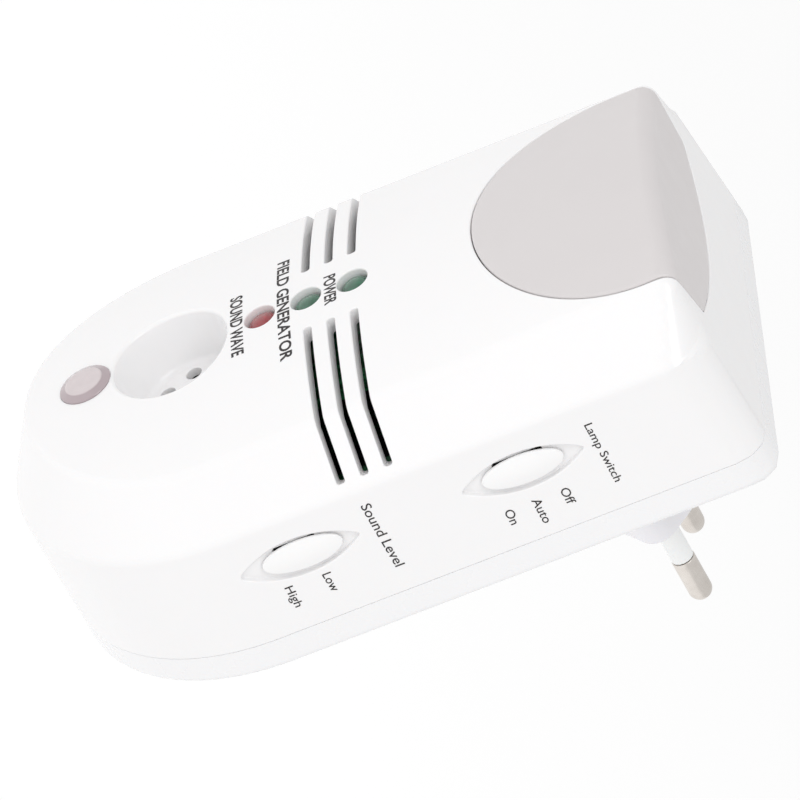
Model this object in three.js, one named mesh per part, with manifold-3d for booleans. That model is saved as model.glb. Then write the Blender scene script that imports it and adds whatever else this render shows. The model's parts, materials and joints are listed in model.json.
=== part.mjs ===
// Plug-in ultrasonic pest repeller with a night light.
//
// Units are millimetres. +Z points up the wall towards the night light, -Y points out into the room
// and the two plug pins point along +Y. The origin is the middle of the plug's end face, between the pins.
// Most places are given as a depth: how far a point stands out from the flat back of the rear cover.

import * as THREE from 'three';
import { mergeVertices } from 'three/addons/utils/BufferGeometryUtils.js';
import Module from 'manifold-3d';

const wasm = await Module();
wasm.setup();

// ---------------------------------------------------------------- driving dimensions

const GAP = 0.3; // clearance between pieces that rest on or in each other
const WALL = 2.0; // moulded wall of the two housing halves
const FLOOR = 2.2; // thickness of the rear cover's flat back

// plug, to the Europlug's standard sizes
const PLUG_LENGTH = 18; // the plug's boss stands this far out of the rear cover
const PIN_PITCH = 18.6; // between the pins where they leave the boss
const PIN_TIP_PITCH = 17.5; // the pins lean towards each other
const PIN_LENGTH = 19;
const SLEEVE_LENGTH = 10;
const PIN_RADIUS = 2.0;

// housing
const BODY_DEPTH = 38.8; // back of the rear cover to the middle of the front face
const SEAM_DEPTH = 5.4; // where the front housing meets the rear cover
const SHOULDER_DEPTH = 26.2; // where the side wall turns into the sloping band
const ARC_Z = -56; // centre of the round lower end
const BACK_HALF = 36.5; // half width at the back, also the lower end's radius there
const SHOULDER_HALF = 36.1;
const FRONT_HALF = 28.2; // radius of the front face's round lower end
const FRONT_HALF_TOP = 26.6; // the front face narrows a little towards the top
const CROWN_RADIUS = 112; // the front face is a slice of a large cylinder
const BACK_TOP_Z = 26.9;
const SHOULDER_TOP_Z = 25.0;
const FRONT_TOP_Z = 24.2;
const BACK_CORNER = 4.5; // the two upper corners, seen from the front
const SHOULDER_CORNER = 7;
const FRONT_CORNER = 3;
const BACK_EDGE = 1.2; // bevel round the back of the rear cover

// front face features, all on the centre line
const SENSOR_Z = -73.5;
const SENSOR_RADIUS = 4.4;
const HORN_Z = -58.8;
const HORN_RADIUS = 9.9;
const HORN_FLOOR_RADIUS = 8.3;
const HORN_DEPTH = 9;
const HORN_WALL = 1.5;
const HORN_HOLE_RADIUS = 1.35;
const HORN_HOLE_CIRCLE = 5.3;
const HORN_HOLES = 6;
const LED_PITCH = 8;
const LED_HOLE_RADIUS = 2.65;
const UPPER_LED_Z = -27.1;
const SLOT_WIDTH = 1.4;
const SLOT_PITCH = LED_PITCH / 2;
const SLOT_START = 7.5;
const SLOT_END = 34.7;
const SLOT_END_DEPTH = 27.4;

// night-light window: a half round on the front face, and a crescent on the upper end face
const WINDOW_HALF = 26.0;
const WINDOW_ARC_Z = 19.4;
const WINDOW_BACK_DEPTH = 19.8;
const WINDOW_BACK_HALF = 23.2;
const WINDOW_BACK_CORNER_DEPTH = 24.6;

// slide switches in the right-hand side wall
const SWITCH_DEPTH = 18.5;
const PET_SWITCH_Z = -46.4;
const PET_KNOB_OFFSET = 0.5;
const LIGHT_SWITCH_Z = -8.7;
const RECESS_HALF_LENGTH = 10.4;
const RECESS_HALF_WIDTH = 3.5;
const RECESS_FLOOR_X = 34.9;
const PAD_INNER_X = 33.1; // a flat pad inside the wall carries each switch
const PAD_HALF_DEPTH = 4.2;
const PAD_HALF_LENGTH = 12;
const KNOB_HALF_LENGTH = 6.75;
const KNOB_HALF_WIDTH = 2.75;

// circuit boards
const BOARD_THICKNESS = 1.6;
const MAIN_BOARD_DEPTH = 9;
const MAIN_BOARD_HALF = 23.5;
const MAIN_BOARD_TOP_Z = 19;
const LED_BOARD_DEPTH = 27;
const LAMP_BOARD_DEPTH = 23;
const PILLAR_X = 10.5; // four pillars behind the front face hold the LED board down
const PILLAR_ENDS_Z = [-23.4, -44.4];
const PILLAR_RADIUS = 1.3;

// fasteners
const UPPER_POST = { x: 29, z: 14, top: 33 }; // top: the depth the post is made up to
const LOWER_POST = { x: 28.5, z: -62, top: 33.4 };
const POSTS = [UPPER_POST, LOWER_POST];
const POST_RADIUS = 3.4;
const SCREW_RADIUS = 1.45;
const SCREW_HEAD_RADIUS = 2.8;
const SCREW_HOLE_RADIUS = SCREW_RADIUS + GAP;
const BOARD_POSTS = [{ x: 19, z: 13.5 }, { x: -16, z: -66 }];
const PLUG_SCREW_X = 23;

const yAt = (depth) => -PLUG_LENGTH - depth;

// ---------------------------------------------------------------- solids and booleans

/** A closed manifold-3d solid made from a closed three.js geometry. */
function solid(geometry) {
  const bare = geometry.clone();
  for (const name of Object.keys(bare.attributes)) {
    if (name !== 'position') bare.deleteAttribute(name);
  }
  const merged = mergeVertices(bare, 1e-4);
  return new wasm.Manifold(new wasm.Mesh({
    numProp: 3,
    vertProperties: new Float32Array(merged.attributes.position.array),
    triVerts: new Uint32Array(merged.index.array),
  }));
}

/** The three.js geometry of a manifold-3d solid. */
function geometryOf(shape) {
  const mesh = shape.getMesh();
  const geometry = new THREE.BufferGeometry();
  geometry.setAttribute('position', new THREE.BufferAttribute(new Float32Array(mesh.vertProperties), 3));
  geometry.setIndex(new THREE.BufferAttribute(new Uint32Array(mesh.triVerts), 1));
  geometry.computeVertexNormals();
  return geometry;
}

const union = (...shapes) => shapes.reduce((whole, next) => whole.add(next));
const cut = (shape, ...tools) => tools.reduce((rest, tool) => rest.subtract(tool), shape);

/** A box between two opposite corners; its second range is a depth range. */
function block([x0, x1], [depth0, depth1], [z0, z1]) {
  const geometry = new THREE.BoxGeometry(x1 - x0, depth1 - depth0, z1 - z0);
  geometry.translate((x0 + x1) / 2, yAt((depth0 + depth1) / 2), (z0 + z1) / 2);
  return solid(geometry);
}

/** A round bar along Y between two depths. */
function bar(radius, depth0, depth1, x, z, sides = 24) {
  const geometry = new THREE.CylinderGeometry(radius, radius, depth1 - depth0, sides);
  geometry.translate(x, yAt((depth0 + depth1) / 2), z);
  return solid(geometry);
}

/** A round bar along X. */
function crossBar(radius, x0, x1, depth, z, sides = 24) {
  const geometry = new THREE.CylinderGeometry(radius, radius, x1 - x0, sides);
  geometry.rotateZ(Math.PI / 2);
  geometry.translate((x0 + x1) / 2, yAt(depth), z);
  return solid(geometry);
}

/** A turned piece: its profile is a closed list of [radius, depth], turned about a line along Y. */
function turned(profile, x, z, sides = 32) {
  const points = profile.map(([radius, depth]) => new THREE.Vector2(radius, -depth));
  const geometry = new THREE.LatheGeometry(points, sides);
  geometry.translate(x, -PLUG_LENGTH, z);
  return outward(geometry);
}

/** A shape drawn in X and Z, pushed along Y between two depths. */
function pushAlongY(shape, depth0, depth1, curveSegments = 24) {
  const options = { depth: depth1 - depth0, bevelEnabled: false, curveSegments };
  const geometry = new THREE.ExtrudeGeometry(shape, options);
  geometry.rotateX(Math.PI / 2);
  geometry.translate(0, yAt(depth0), 0);
  return solid(geometry);
}

/** A shape drawn in X and Y, pushed along Z. */
function pushAlongZ(shape, z0, z1, curveSegments = 24) {
  const geometry = new THREE.ExtrudeGeometry(shape, { depth: z1 - z0, bevelEnabled: false, curveSegments });
  geometry.translate(0, 0, z0);
  return solid(geometry);
}

/** A shape drawn in Y and Z about a centre, pushed along X. */
function pushAlongX(shape, x0, x1, depth, z, curveSegments = 24) {
  const geometry = new THREE.ExtrudeGeometry(shape, { depth: x1 - x0, bevelEnabled: false, curveSegments });
  const turn = new THREE.Matrix4().makeBasis(
    new THREE.Vector3(0, 1, 0),
    new THREE.Vector3(0, 0, 1),
    new THREE.Vector3(1, 0, 0),
  );
  geometry.applyMatrix4(turn);
  geometry.translate(x0, yAt(depth), z);
  return solid(geometry);
}

/** Makes a solid whose faces point out, whichever way its geometry was wound. */
function outward(geometry) {
  const indexed = geometry.index ? geometry : mergeVertices(geometry);
  if (signedVolume(indexed) < 0) {
    const index = indexed.index.array;
    for (let i = 0; i < index.length; i += 3) {
      const first = index[i];
      index[i] = index[i + 1];
      index[i + 1] = first;
    }
  }
  return solid(indexed);
}

function signedVolume(geometry) {
  const position = geometry.attributes.position;
  const corner = (n) => new THREE.Vector3().fromBufferAttribute(position, geometry.index.getX(n));
  let volume = 0;
  for (let i = 0; i < geometry.index.count; i += 3) {
    volume += corner(i).dot(corner(i + 1).cross(corner(i + 2))) / 6;
  }
  return volume;
}

// ---------------------------------------------------------------- the housing's outer form

const ARC_STEPS = 36;
const CORNER_STEPS = 5;
const TOP_STEPS = 12;

/** One closed outline in X and Z: a round lower end, straight sides and two rounded upper corners. */
function outline(half, halfTop, topZ, corner) {
  const points = [];
  const arc = (cx, cz, radius, from, to, steps) => {
    for (let i = 0; i <= steps; i += 1) {
      const angle = from + ((to - from) * i) / steps;
      points.push({ x: cx + radius * Math.cos(angle), z: cz + radius * Math.sin(angle) });
    }
  };
  arc(0, ARC_Z, half, 0, -Math.PI, ARC_STEPS);
  arc(-halfTop + corner, topZ - corner, corner, Math.PI, Math.PI / 2, CORNER_STEPS);
  const span = 2 * (halfTop - corner);
  for (let i = 1; i < TOP_STEPS; i += 1) {
    points.push({ x: -halfTop + corner + (span * i) / TOP_STEPS, z: topZ });
  }
  arc(halfTop - corner, topZ - corner, corner, Math.PI / 2, 0, CORNER_STEPS);
  return points;
}

/** A solid skinned over matching loops of points, closed by a fan at each end. */
function skin(loops, backPoint, frontPoint) {
  const count = loops[0].length;
  const positions = [];
  for (const loop of loops) {
    for (const p of loop) positions.push(p.x, yAt(p.depth), p.z);
  }
  const backIndex = loops.length * count;
  positions.push(backPoint.x, yAt(backPoint.depth), backPoint.z);
  positions.push(frontPoint.x, yAt(frontPoint.depth), frontPoint.z);
  const index = [];
  for (let i = 0; i < count; i += 1) {
    const next = (i + 1) % count;
    index.push(backIndex, i, next);
    for (let k = 0; k + 1 < loops.length; k += 1) {
      const low = k * count;
      const high = low + count;
      index.push(low + i, high + i, low + next);
      index.push(low + next, high + i, high + next);
    }
    const last = (loops.length - 1) * count;
    index.push(last + i, backIndex + 1, last + next);
  }
  const geometry = new THREE.BufferGeometry();
  geometry.setAttribute('position', new THREE.Float32BufferAttribute(positions, 3));
  geometry.setIndex(index);
  return outward(geometry);
}

const level = (points, depth) => points.map((p) => ({ ...p, depth }));

/** Depth of the crowned front face at one x. */
function crownDepth(x, inset = 0) {
  const radius = CROWN_RADIUS - inset;
  return BODY_DEPTH - CROWN_RADIUS + Math.sqrt(radius * radius - x * x);
}

/** Everything behind the crowned front face. */
function behindCrown(inset) {
  const reach = 44;
  const steps = 26;
  const shape = new THREE.Shape();
  shape.moveTo(-reach, yAt(-2));
  for (let i = 0; i <= steps; i += 1) {
    const x = -reach + (2 * reach * i) / steps;
    shape.lineTo(x, yAt(crownDepth(x, inset)));
  }
  shape.lineTo(reach, yAt(-2));
  return pushAlongZ(shape, -120, 60);
}

/** The body's outline at a depth up to the shoulder, made smaller all round by an inset. */
function sideOutline(depth, inset) {
  const share = depth / SHOULDER_DEPTH;
  const half = THREE.MathUtils.lerp(BACK_HALF, SHOULDER_HALF, share) - inset;
  const topZ = THREE.MathUtils.lerp(BACK_TOP_Z, SHOULDER_TOP_Z, share) - inset;
  const corner = Math.max(THREE.MathUtils.lerp(BACK_CORNER, SHOULDER_CORNER, share) - inset, 1);
  return level(outline(half, half, topZ, corner), depth);
}

/** The housing's full form, made smaller all round by an inset, from a back depth to the front face. */
function bodyForm(inset, backDepth) {
  const back = sideOutline(backDepth, inset);
  const shoulder = level(sideOutline(SHOULDER_DEPTH, inset), SHOULDER_DEPTH - 0.45 * inset);
  const front = outline(
    FRONT_HALF - 0.75 * inset,
    FRONT_HALF_TOP - 0.75 * inset,
    FRONT_TOP_Z - inset,
    Math.max(FRONT_CORNER - inset, 1),
  ).map((p) => ({ ...p, depth: crownDepth(p.x, inset) }));
  // the sloping band runs on past the crown, which then cuts it off
  const past = 1.3;
  const beyond = front.map((p, i) => ({
    x: THREE.MathUtils.lerp(shoulder[i].x, p.x, past),
    z: THREE.MathUtils.lerp(shoulder[i].z, p.z, past),
    depth: THREE.MathUtils.lerp(shoulder[i].depth, p.depth, past),
  }));
  const middle = (depth) => ({ x: 0, depth, z: ARC_Z / 2 });
  const form = skin([back, shoulder, beyond], middle(backDepth), middle(2 * BODY_DEPTH));
  return form.intersect(behindCrown(inset));
}

/** The part of the shell that the night-light window takes, made smaller all round by an inset. */
function windowRegion(inset) {
  const half = WINDOW_HALF - inset;
  const face = new THREE.Shape();
  face.moveTo(-half, 40);
  face.lineTo(-half, WINDOW_ARC_Z);
  face.absarc(0, WINDOW_ARC_Z, half, Math.PI, 2 * Math.PI, false);
  face.lineTo(half, 40);
  const frontPart = pushAlongY(face, 33.6, 50, 16);
  const backHalf = WINDOW_BACK_HALF - inset;
  const bow = WINDOW_BACK_CORNER_DEPTH - WINDOW_BACK_DEPTH;
  const end = new THREE.Shape();
  end.moveTo(-half, yAt(50));
  end.lineTo(-half, yAt(35));
  const backCorner = yAt(WINDOW_BACK_CORNER_DEPTH + inset);
  end.lineTo(-backHalf, backCorner);
  end.quadraticCurveTo(0, yAt(WINDOW_BACK_DEPTH + inset - bow), backHalf, backCorner);
  end.lineTo(half, yAt(35));
  end.lineTo(half, yAt(50));
  const endPart = pushAlongZ(end, WINDOW_ARC_Z - 0.5, 40, 16);
  return frontPart.add(endPart);
}

const shellForm = bodyForm(0, SEAM_DEPTH + GAP / 2).subtract(bodyForm(WALL, SEAM_DEPTH - 2));

// ---------------------------------------------------------------- front housing

/** A pointed oval, like an eye, drawn in Y and Z about its centre. */
function eyeShape(halfLength, halfWidth) {
  const radius = (halfLength ** 2 + halfWidth ** 2) / (2 * halfWidth);
  const offset = radius - halfWidth;
  const sweep = Math.asin(halfLength / radius);
  const shape = new THREE.Shape();
  shape.absarc(-offset, 0, radius, -sweep, sweep, false);
  shape.absarc(offset, 0, radius, Math.PI - sweep, Math.PI + sweep, false);
  return shape;
}

/** A rectangle drawn about its centre. */
function rectangle(halfU, halfV) {
  const shape = new THREE.Shape();
  shape.moveTo(-halfU, -halfV);
  shape.lineTo(halfU, -halfV);
  shape.lineTo(halfU, halfV);
  shape.lineTo(-halfU, halfV);
  shape.closePath();
  return shape;
}

/** The recess and the slot for one slide switch. */
function switchCut(z, slotHalfLength) {
  const recess = pushAlongX(
    eyeShape(RECESS_HALF_LENGTH, RECESS_HALF_WIDTH), RECESS_FLOOR_X, 40, SWITCH_DEPTH, z, 12);
  const slot = pushAlongX(rectangle(2.6, slotHalfLength), 30, 36, SWITCH_DEPTH, z);
  return recess.add(slot);
}

function frontHousing() {
  let shape = shellForm.subtract(windowRegion(0));
  const faceDepth = BODY_DEPTH;
  const floorDepth = faceDepth - HORN_DEPTH;
  const hornCup = turned([
    [0, floorDepth - HORN_WALL],
    [HORN_FLOOR_RADIUS + HORN_WALL, floorDepth - HORN_WALL],
    [HORN_RADIUS + HORN_WALL, faceDepth - 1],
    [0, faceDepth - 1],
  ], 0, HORN_Z, 40);
  const hornRecess = turned([
    [0, floorDepth],
    [HORN_FLOOR_RADIUS, floorDepth],
    [HORN_RADIUS, faceDepth],
    [HORN_RADIUS + 0.3, faceDepth + 2],
    [0, faceDepth + 2],
  ], 0, HORN_Z, 40);
  const pads = [PET_SWITCH_Z, LIGHT_SWITCH_Z].map((z) => (
    block(
      [PAD_INNER_X, RECESS_FLOOR_X - 0.1],
      [SWITCH_DEPTH - PAD_HALF_DEPTH, SWITCH_DEPTH + PAD_HALF_DEPTH],
      [z - PAD_HALF_LENGTH, z + PAD_HALF_LENGTH],
    )));
  const posts = [];
  for (const { x, z, top } of POSTS) {
    for (const side of [-1, 1]) {
      posts.push(bar(POST_RADIUS, SEAM_DEPTH + GAP, top, side * x, z, 20));
    }
  }
  const pillars = [];
  for (const x of [-PILLAR_X, PILLAR_X]) {
    for (const z of PILLAR_ENDS_Z) {
      pillars.push(bar(PILLAR_RADIUS, LED_BOARD_DEPTH + BOARD_THICKNESS + GAP, BODY_DEPTH - 1.4, x, z, 12));
    }
  }
  const solidPosts = union(...posts).intersect(bodyForm(0.5, SEAM_DEPTH));
  shape = union(shape, hornCup, ...pads, solidPosts, ...pillars);
  shape = cut(shape, hornRecess);
  for (let i = 0; i < HORN_HOLES; i += 1) {
    const angle = Math.PI + (i * 2 * Math.PI) / HORN_HOLES;
    const x = HORN_HOLE_CIRCLE * Math.cos(angle);
    const z = HORN_Z + HORN_HOLE_CIRCLE * Math.sin(angle);
    shape = cut(shape, bar(HORN_HOLE_RADIUS, floorDepth - 3, floorDepth + 1, x, z, 12));
  }
  for (let i = 0; i < 3; i += 1) {
    shape = cut(shape, bar(LED_HOLE_RADIUS, 33, 42, 0, UPPER_LED_Z - i * LED_PITCH, 28));
    const z = UPPER_LED_Z - i * SLOT_PITCH;
    for (const side of [-1, 1]) {
      const range = side > 0 ? [SLOT_START, SLOT_END] : [-SLOT_END, -SLOT_START];
      shape = cut(shape, block(range, [SLOT_END_DEPTH, 42], [z - SLOT_WIDTH / 2, z + SLOT_WIDTH / 2]));
    }
  }
  shape = cut(shape, bar(SENSOR_RADIUS - 0.6, 33, 42, 0, SENSOR_Z, 28));
  shape = cut(shape, bar(SENSOR_RADIUS + 0.1, BODY_DEPTH - 0.6, 42, 0, SENSOR_Z, 28));
  shape = cut(shape, switchCut(PET_SWITCH_Z, 3.6), switchCut(LIGHT_SWITCH_Z, 4.2));
  for (const { x, z } of POSTS) {
    for (const side of [-1, 1]) {
      shape = cut(shape, bar(SCREW_HOLE_RADIUS, SEAM_DEPTH - 1, 20, side * x, z, 16));
    }
  }
  return shape;
}

// ---------------------------------------------------------------- rear cover and plug

/** The plug boss's outline in X and Z: a long hexagon with its two ends rounded. */
function plugOutline(halfWidth, halfHeight) {
  const flat = halfWidth * 0.54; // the flat sides end here
  const knee = flat + 1.6; // a soft knee turns them towards the ends
  const slope = flat + 2.8;
  const shoulder = halfHeight - 0.8;
  const nose = halfWidth - 0.9; // the ends round over from here
  const noseHalf = 2.2;
  const past = halfWidth + 0.6;
  const shape = new THREE.Shape();
  shape.moveTo(-flat, halfHeight);
  shape.quadraticCurveTo(-knee, halfHeight, -slope, shoulder);
  shape.lineTo(-nose, noseHalf);
  shape.quadraticCurveTo(-past, 0, -nose, -noseHalf);
  shape.lineTo(-slope, -shoulder);
  shape.quadraticCurveTo(-knee, -halfHeight, -flat, -halfHeight);
  shape.lineTo(flat, -halfHeight);
  shape.quadraticCurveTo(knee, -halfHeight, slope, -shoulder);
  shape.lineTo(nose, -noseHalf);
  shape.quadraticCurveTo(past, 0, nose, noseHalf);
  shape.lineTo(slope, shoulder);
  shape.quadraticCurveTo(knee, halfHeight, flat, halfHeight);
  shape.closePath();
  return shape;
}

const PLUG_HALF_WIDTH = 17.3;
const PLUG_HALF_HEIGHT = 6.5;

/** The boss between two depths, growing evenly towards the cover. */
function plugBoss(depth0, depth1, grow0, grow1) {
  const section = (grow, depth) => {
    const { shape: points } = plugOutline(PLUG_HALF_WIDTH + grow, PLUG_HALF_HEIGHT + grow).extractPoints(6);
    return points.slice(0, -1).map((p) => ({ x: p.x, z: p.y, depth }));
  };
  return skin(
    [section(grow0, depth0), section(grow1, depth1)],
    { x: 0, depth: depth0, z: 0 },
    { x: 0, depth: depth1, z: 0 },
  );
}

function rearCover() {
  const coverTop = SEAM_DEPTH - GAP / 2;
  const middle = (depth) => ({ x: 0, depth, z: ARC_Z / 2 });
  const slab = (inset, depth0, depth1) => (
    skin([sideOutline(depth0, inset), sideOutline(depth1, inset)], middle(depth0), middle(depth1)));
  const bevelled = level(sideOutline(0, BACK_EDGE), 0);
  const outer = skin(
    [bevelled, sideOutline(BACK_EDGE, 0), sideOutline(coverTop, 0)], middle(0), middle(coverTop));
  let shape = outer.subtract(slab(WALL, FLOOR, coverTop + 1));
  // a lip stands up inside the rim, joined to it at its foot and cut away round the screw posts
  const lipInset = WALL + GAP;
  let lip = slab(lipInset, 2, 7.4).add(slab(WALL - 0.5, 2, 4)).subtract(slab(lipInset + 1.2, 1.5, 8));
  const screwPosts = [];
  for (const { x, z } of POSTS) {
    for (const side of [-1, 1]) {
      lip = cut(lip, bar(POST_RADIUS + 0.5, 4.5, 9, side * x, z, 20));
      screwPosts.push(bar(POST_RADIUS + 0.9, 2, SEAM_DEPTH - 0.2, side * x, z, 20));
    }
  }
  const posts = BOARD_POSTS.map(({ x, z }) => bar(2.6, 2, MAIN_BOARD_DEPTH - GAP, x, z, 16));
  const plugPosts = [-1, 1].map((side) => bar(2.6, 2, 3.2, side * PLUG_SCREW_X, 0, 16));
  shape = union(shape, lip, ...screwPosts, ...posts, ...plugPosts);
  for (const { x, z } of POSTS) {
    for (const side of [-1, 1]) {
      shape = cut(shape, bar(SCREW_HOLE_RADIUS, -1, 7, side * x, z, 16));
      shape = cut(shape, bar(SCREW_HEAD_RADIUS + GAP, -1, 2.6, side * x, z, 20));
    }
  }
  for (const { x, z } of BOARD_POSTS) shape = cut(shape, bar(1.2, 3, 10, x, z, 12));
  for (const side of [-1, 1]) shape = cut(shape, bar(1.2, 0.8, 10, side * PLUG_SCREW_X, 0, 12));
  return cut(shape, plugBoss(-1, 6, 0.75, 0.75));
}

const pinLean = Math.atan((PIN_PITCH - PIN_TIP_PITCH) / 2 / PIN_LENGTH);

/** Places a piece made about a line along Y onto one pin's leaning line; side is -1 or 1. */
function onPinLine(geometry, side) {
  geometry.rotateZ(side * pinLean);
  geometry.translate((side * PIN_PITCH) / 2, 0, 0);
  return geometry;
}

/** A turned geometry from a closed list of [radius, y]. */
function turnedAlongY(profile, sides = 20) {
  return new THREE.LatheGeometry(profile.map(([radius, y]) => new THREE.Vector2(radius, y)), sides);
}

function plugBase() {
  const boss = plugBoss(-PLUG_LENGTH, 3.5 + GAP, 0, 0.45);
  const flange = block([-27, 27], [3.2 + GAP, 5.5], [-9, 9]);
  let shape = boss.add(flange);
  for (const side of [-1, 1]) {
    const profile = [[0, -30], [1.6, -30], [1.6, -2.3], [2.15, -2.3], [2.15, 3], [0, 3]];
    const bore = onPinLine(turnedAlongY(profile), side);
    shape = cut(shape, outward(bore), bar(SCREW_RADIUS, 0, 8, side * PLUG_SCREW_X, 0, 16));
  }
  return shape;
}

function plugPin(side) {
  const profile = [[0, -24.3], [1.3, -24.3], [1.3, SLEEVE_LENGTH], [PIN_RADIUS, SLEEVE_LENGTH]];
  const steps = 5;
  for (let i = 0; i <= steps; i += 1) {
    const angle = (i / steps) * (Math.PI / 2);
    const radius = i === steps ? 0 : PIN_RADIUS * Math.cos(angle);
    profile.push([radius, PIN_LENGTH - PIN_RADIUS + PIN_RADIUS * Math.sin(angle)]);
  }
  return outward(onPinLine(turnedAlongY(profile), side));
}

function pinSleeve(side) {
  const end = SLEEVE_LENGTH - GAP;
  const profile = [[1.55, -2], [1.85, -2], [1.85, end], [1.55, end], [1.55, -2]];
  return outward(onPinLine(turnedAlongY(profile), side));
}

/** A cross-head screw driven in from the back: its head is at the smaller depth. */
function screw(x, z, headDepth, headHeight, tipDepth, headRadius, shankRadius) {
  return turned([
    [0, headDepth],
    [headRadius - 0.5, headDepth],
    [headRadius, headDepth + 0.4],
    [headRadius, headDepth + headHeight],
    [shankRadius, headDepth + headHeight],
    [shankRadius, tipDepth - 1.5],
    [0, tipDepth],
  ], x, z, 20).subtract(block([x - 1.6, x + 1.6], [headDepth - 1, headDepth + 0.7], [z - 0.35, z + 0.35]))
    .subtract(block([x - 0.35, x + 0.35], [headDepth - 1, headDepth + 0.7], [z - 1.6, z + 1.6]));
}

/** A plain screw driven from the room side: its head is at the larger depth. */
function boardScrew(x, z, headDepth, tipDepth) {
  return turned([
    [0, headDepth],
    [2.2, headDepth],
    [2.2, headDepth - 1.4],
    [0.9, headDepth - 1.4],
    [0.9, tipDepth + 1],
    [0, tipDepth],
  ], x, z, 16);
}

// ---------------------------------------------------------------- front details

function nightLightLens() {
  return bodyForm(0, SEAM_DEPTH + 1).subtract(bodyForm(1.5, SEAM_DEPTH)).intersect(windowRegion(GAP));
}

function sensorWindow() {
  const seat = BODY_DEPTH - 0.3;
  const radius = SENSOR_RADIUS - 0.1;
  const stem = SENSOR_RADIUS - 0.9;
  return turned([
    [0, 35.5],
    [stem, 35.5],
    [stem, seat],
    [radius, seat],
    [radius, seat + 0.5],
    [radius - 0.5, seat + 0.95],
    [radius - 1.3, seat + 1.15],
    [0, seat + 1.15],
  ], 0, SENSOR_Z, 28);
}

/** A 5 mm light-emitting diode facing the room, its flange at one depth. */
function roundLed(x, z, baseDepth) {
  const radius = 2.35;
  const height = 8.6;
  const profile = [[0, baseDepth], [2.85, baseDepth], [2.85, baseDepth + 1], [radius, baseDepth + 1]];
  const steps = 4;
  for (let i = 0; i <= steps; i += 1) {
    const angle = (i / steps) * (Math.PI / 2);
    const r = i === steps ? 0 : radius * Math.cos(angle);
    profile.push([r, baseDepth + height - radius + radius * Math.sin(angle)]);
  }
  return turned(profile, x, z, 16);
}

// ---------------------------------------------------------------- switches

function switchKnob(z, offset) {
  const bevel = 0.35;
  const oval = new THREE.Shape();
  oval.absellipse(0, 0, KNOB_HALF_WIDTH - bevel, KNOB_HALF_LENGTH - bevel, 0, 2 * Math.PI, false, 0);
  const cap = new THREE.ExtrudeGeometry(oval, {
    depth: 0.6,
    bevelEnabled: true,
    bevelSize: bevel,
    bevelThickness: bevel,
    bevelSegments: 1,
    curveSegments: 14,
  });
  cap.applyMatrix4(new THREE.Matrix4().makeBasis(
    new THREE.Vector3(0, 1, 0), new THREE.Vector3(0, 0, 1), new THREE.Vector3(1, 0, 0)));
  cap.translate(RECESS_FLOOR_X + GAP + bevel, yAt(SWITCH_DEPTH), z + offset);
  const stem = pushAlongX(rectangle(1.7, 1.9), 33.3, RECESS_FLOOR_X + 0.8, SWITCH_DEPTH, z + offset);
  const socket = pushAlongX(rectangle(1.2, 1.2), 33, 35.1, SWITCH_DEPTH, z + offset);
  return solid(cap).add(stem).subtract(socket);
}

function switchSlider(z, offset) {
  const foot = pushAlongX(rectangle(1.4, 1.9), 29.9, 32.2, SWITCH_DEPTH, z + offset);
  const neck = pushAlongX(rectangle(0.9, 0.9), 32, 34.8, SWITCH_DEPTH, z + offset);
  return foot.add(neck);
}

function switchBody(z) {
  const body = block([27.9, 32.7], [SWITCH_DEPTH - 3.2, SWITCH_DEPTH + 3.2], [z - 6.6, z + 6.6]);
  const pocket = block([29.6, 32.4], [SWITCH_DEPTH - 1.7, SWITCH_DEPTH + 1.7], [z - 4.6, z + 4.6]);
  const opening = block([32, 33], [SWITCH_DEPTH - 1.2, SWITCH_DEPTH + 1.2], [z - 3.6, z + 3.6]);
  return cut(body, pocket, opening);
}

// ---------------------------------------------------------------- boards

function mainBoard() {
  const shape = new THREE.Shape();
  shape.moveTo(-MAIN_BOARD_HALF, MAIN_BOARD_TOP_Z);
  shape.lineTo(-MAIN_BOARD_HALF, ARC_Z);
  shape.absarc(0, ARC_Z, MAIN_BOARD_HALF, Math.PI, 2 * Math.PI, false);
  shape.lineTo(MAIN_BOARD_HALF, MAIN_BOARD_TOP_Z);
  shape.closePath();
  let board = pushAlongY(shape, MAIN_BOARD_DEPTH, MAIN_BOARD_DEPTH + BOARD_THICKNESS, 14);
  for (const { x, z } of BOARD_POSTS) board = cut(board, bar(1.2, 8, 12, x, z, 12));
  return board;
}

// ---------------------------------------------------------------- inner components

const BOARD_TOP = MAIN_BOARD_DEPTH + BOARD_THICKNESS + GAP; // where parts on the main board stand

function transformerCore() {
  const outer = block([-22, 2], [BOARD_TOP + 3, BOARD_TOP + 13], [-20, 0]);
  const windows = [[-18, -14], [-6, -2]].map((x) => block(x, [BOARD_TOP, 30], [-16, -4]));
  return cut(outer, ...windows);
}

function transformerCoil() {
  const outer = block([-17.7, -2.3], [BOARD_TOP, BOARD_TOP + 16], [-15.7, -4.3]);
  return cut(outer, block([-14.3, -5.7], [BOARD_TOP + 2.7, BOARD_TOP + 13.3], [-17, -3]));
}

/** A bar along the field coil's own line; reach is how far it runs each way from the middle. */
const coilBar = (radius, reach, sides) => crossBar(radius, -reach, reach, BOARD_TOP + 6, -74, sides);

function fieldCoilBobbin() {
  const tube = coilBar(2.8, 11, 20);
  const flanges = coilBar(6, 11.6, 20).subtract(coilBar(7, 10.4, 20));
  return union(tube, flanges).subtract(coilBar(2.0, 20, 16));
}

const fieldCoilWinding = () => coilBar(5.2, 10, 24).subtract(coilBar(3.1, 12, 20));
const fieldCoilCore = () => coilBar(1.7, 13.5, 16);

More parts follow.
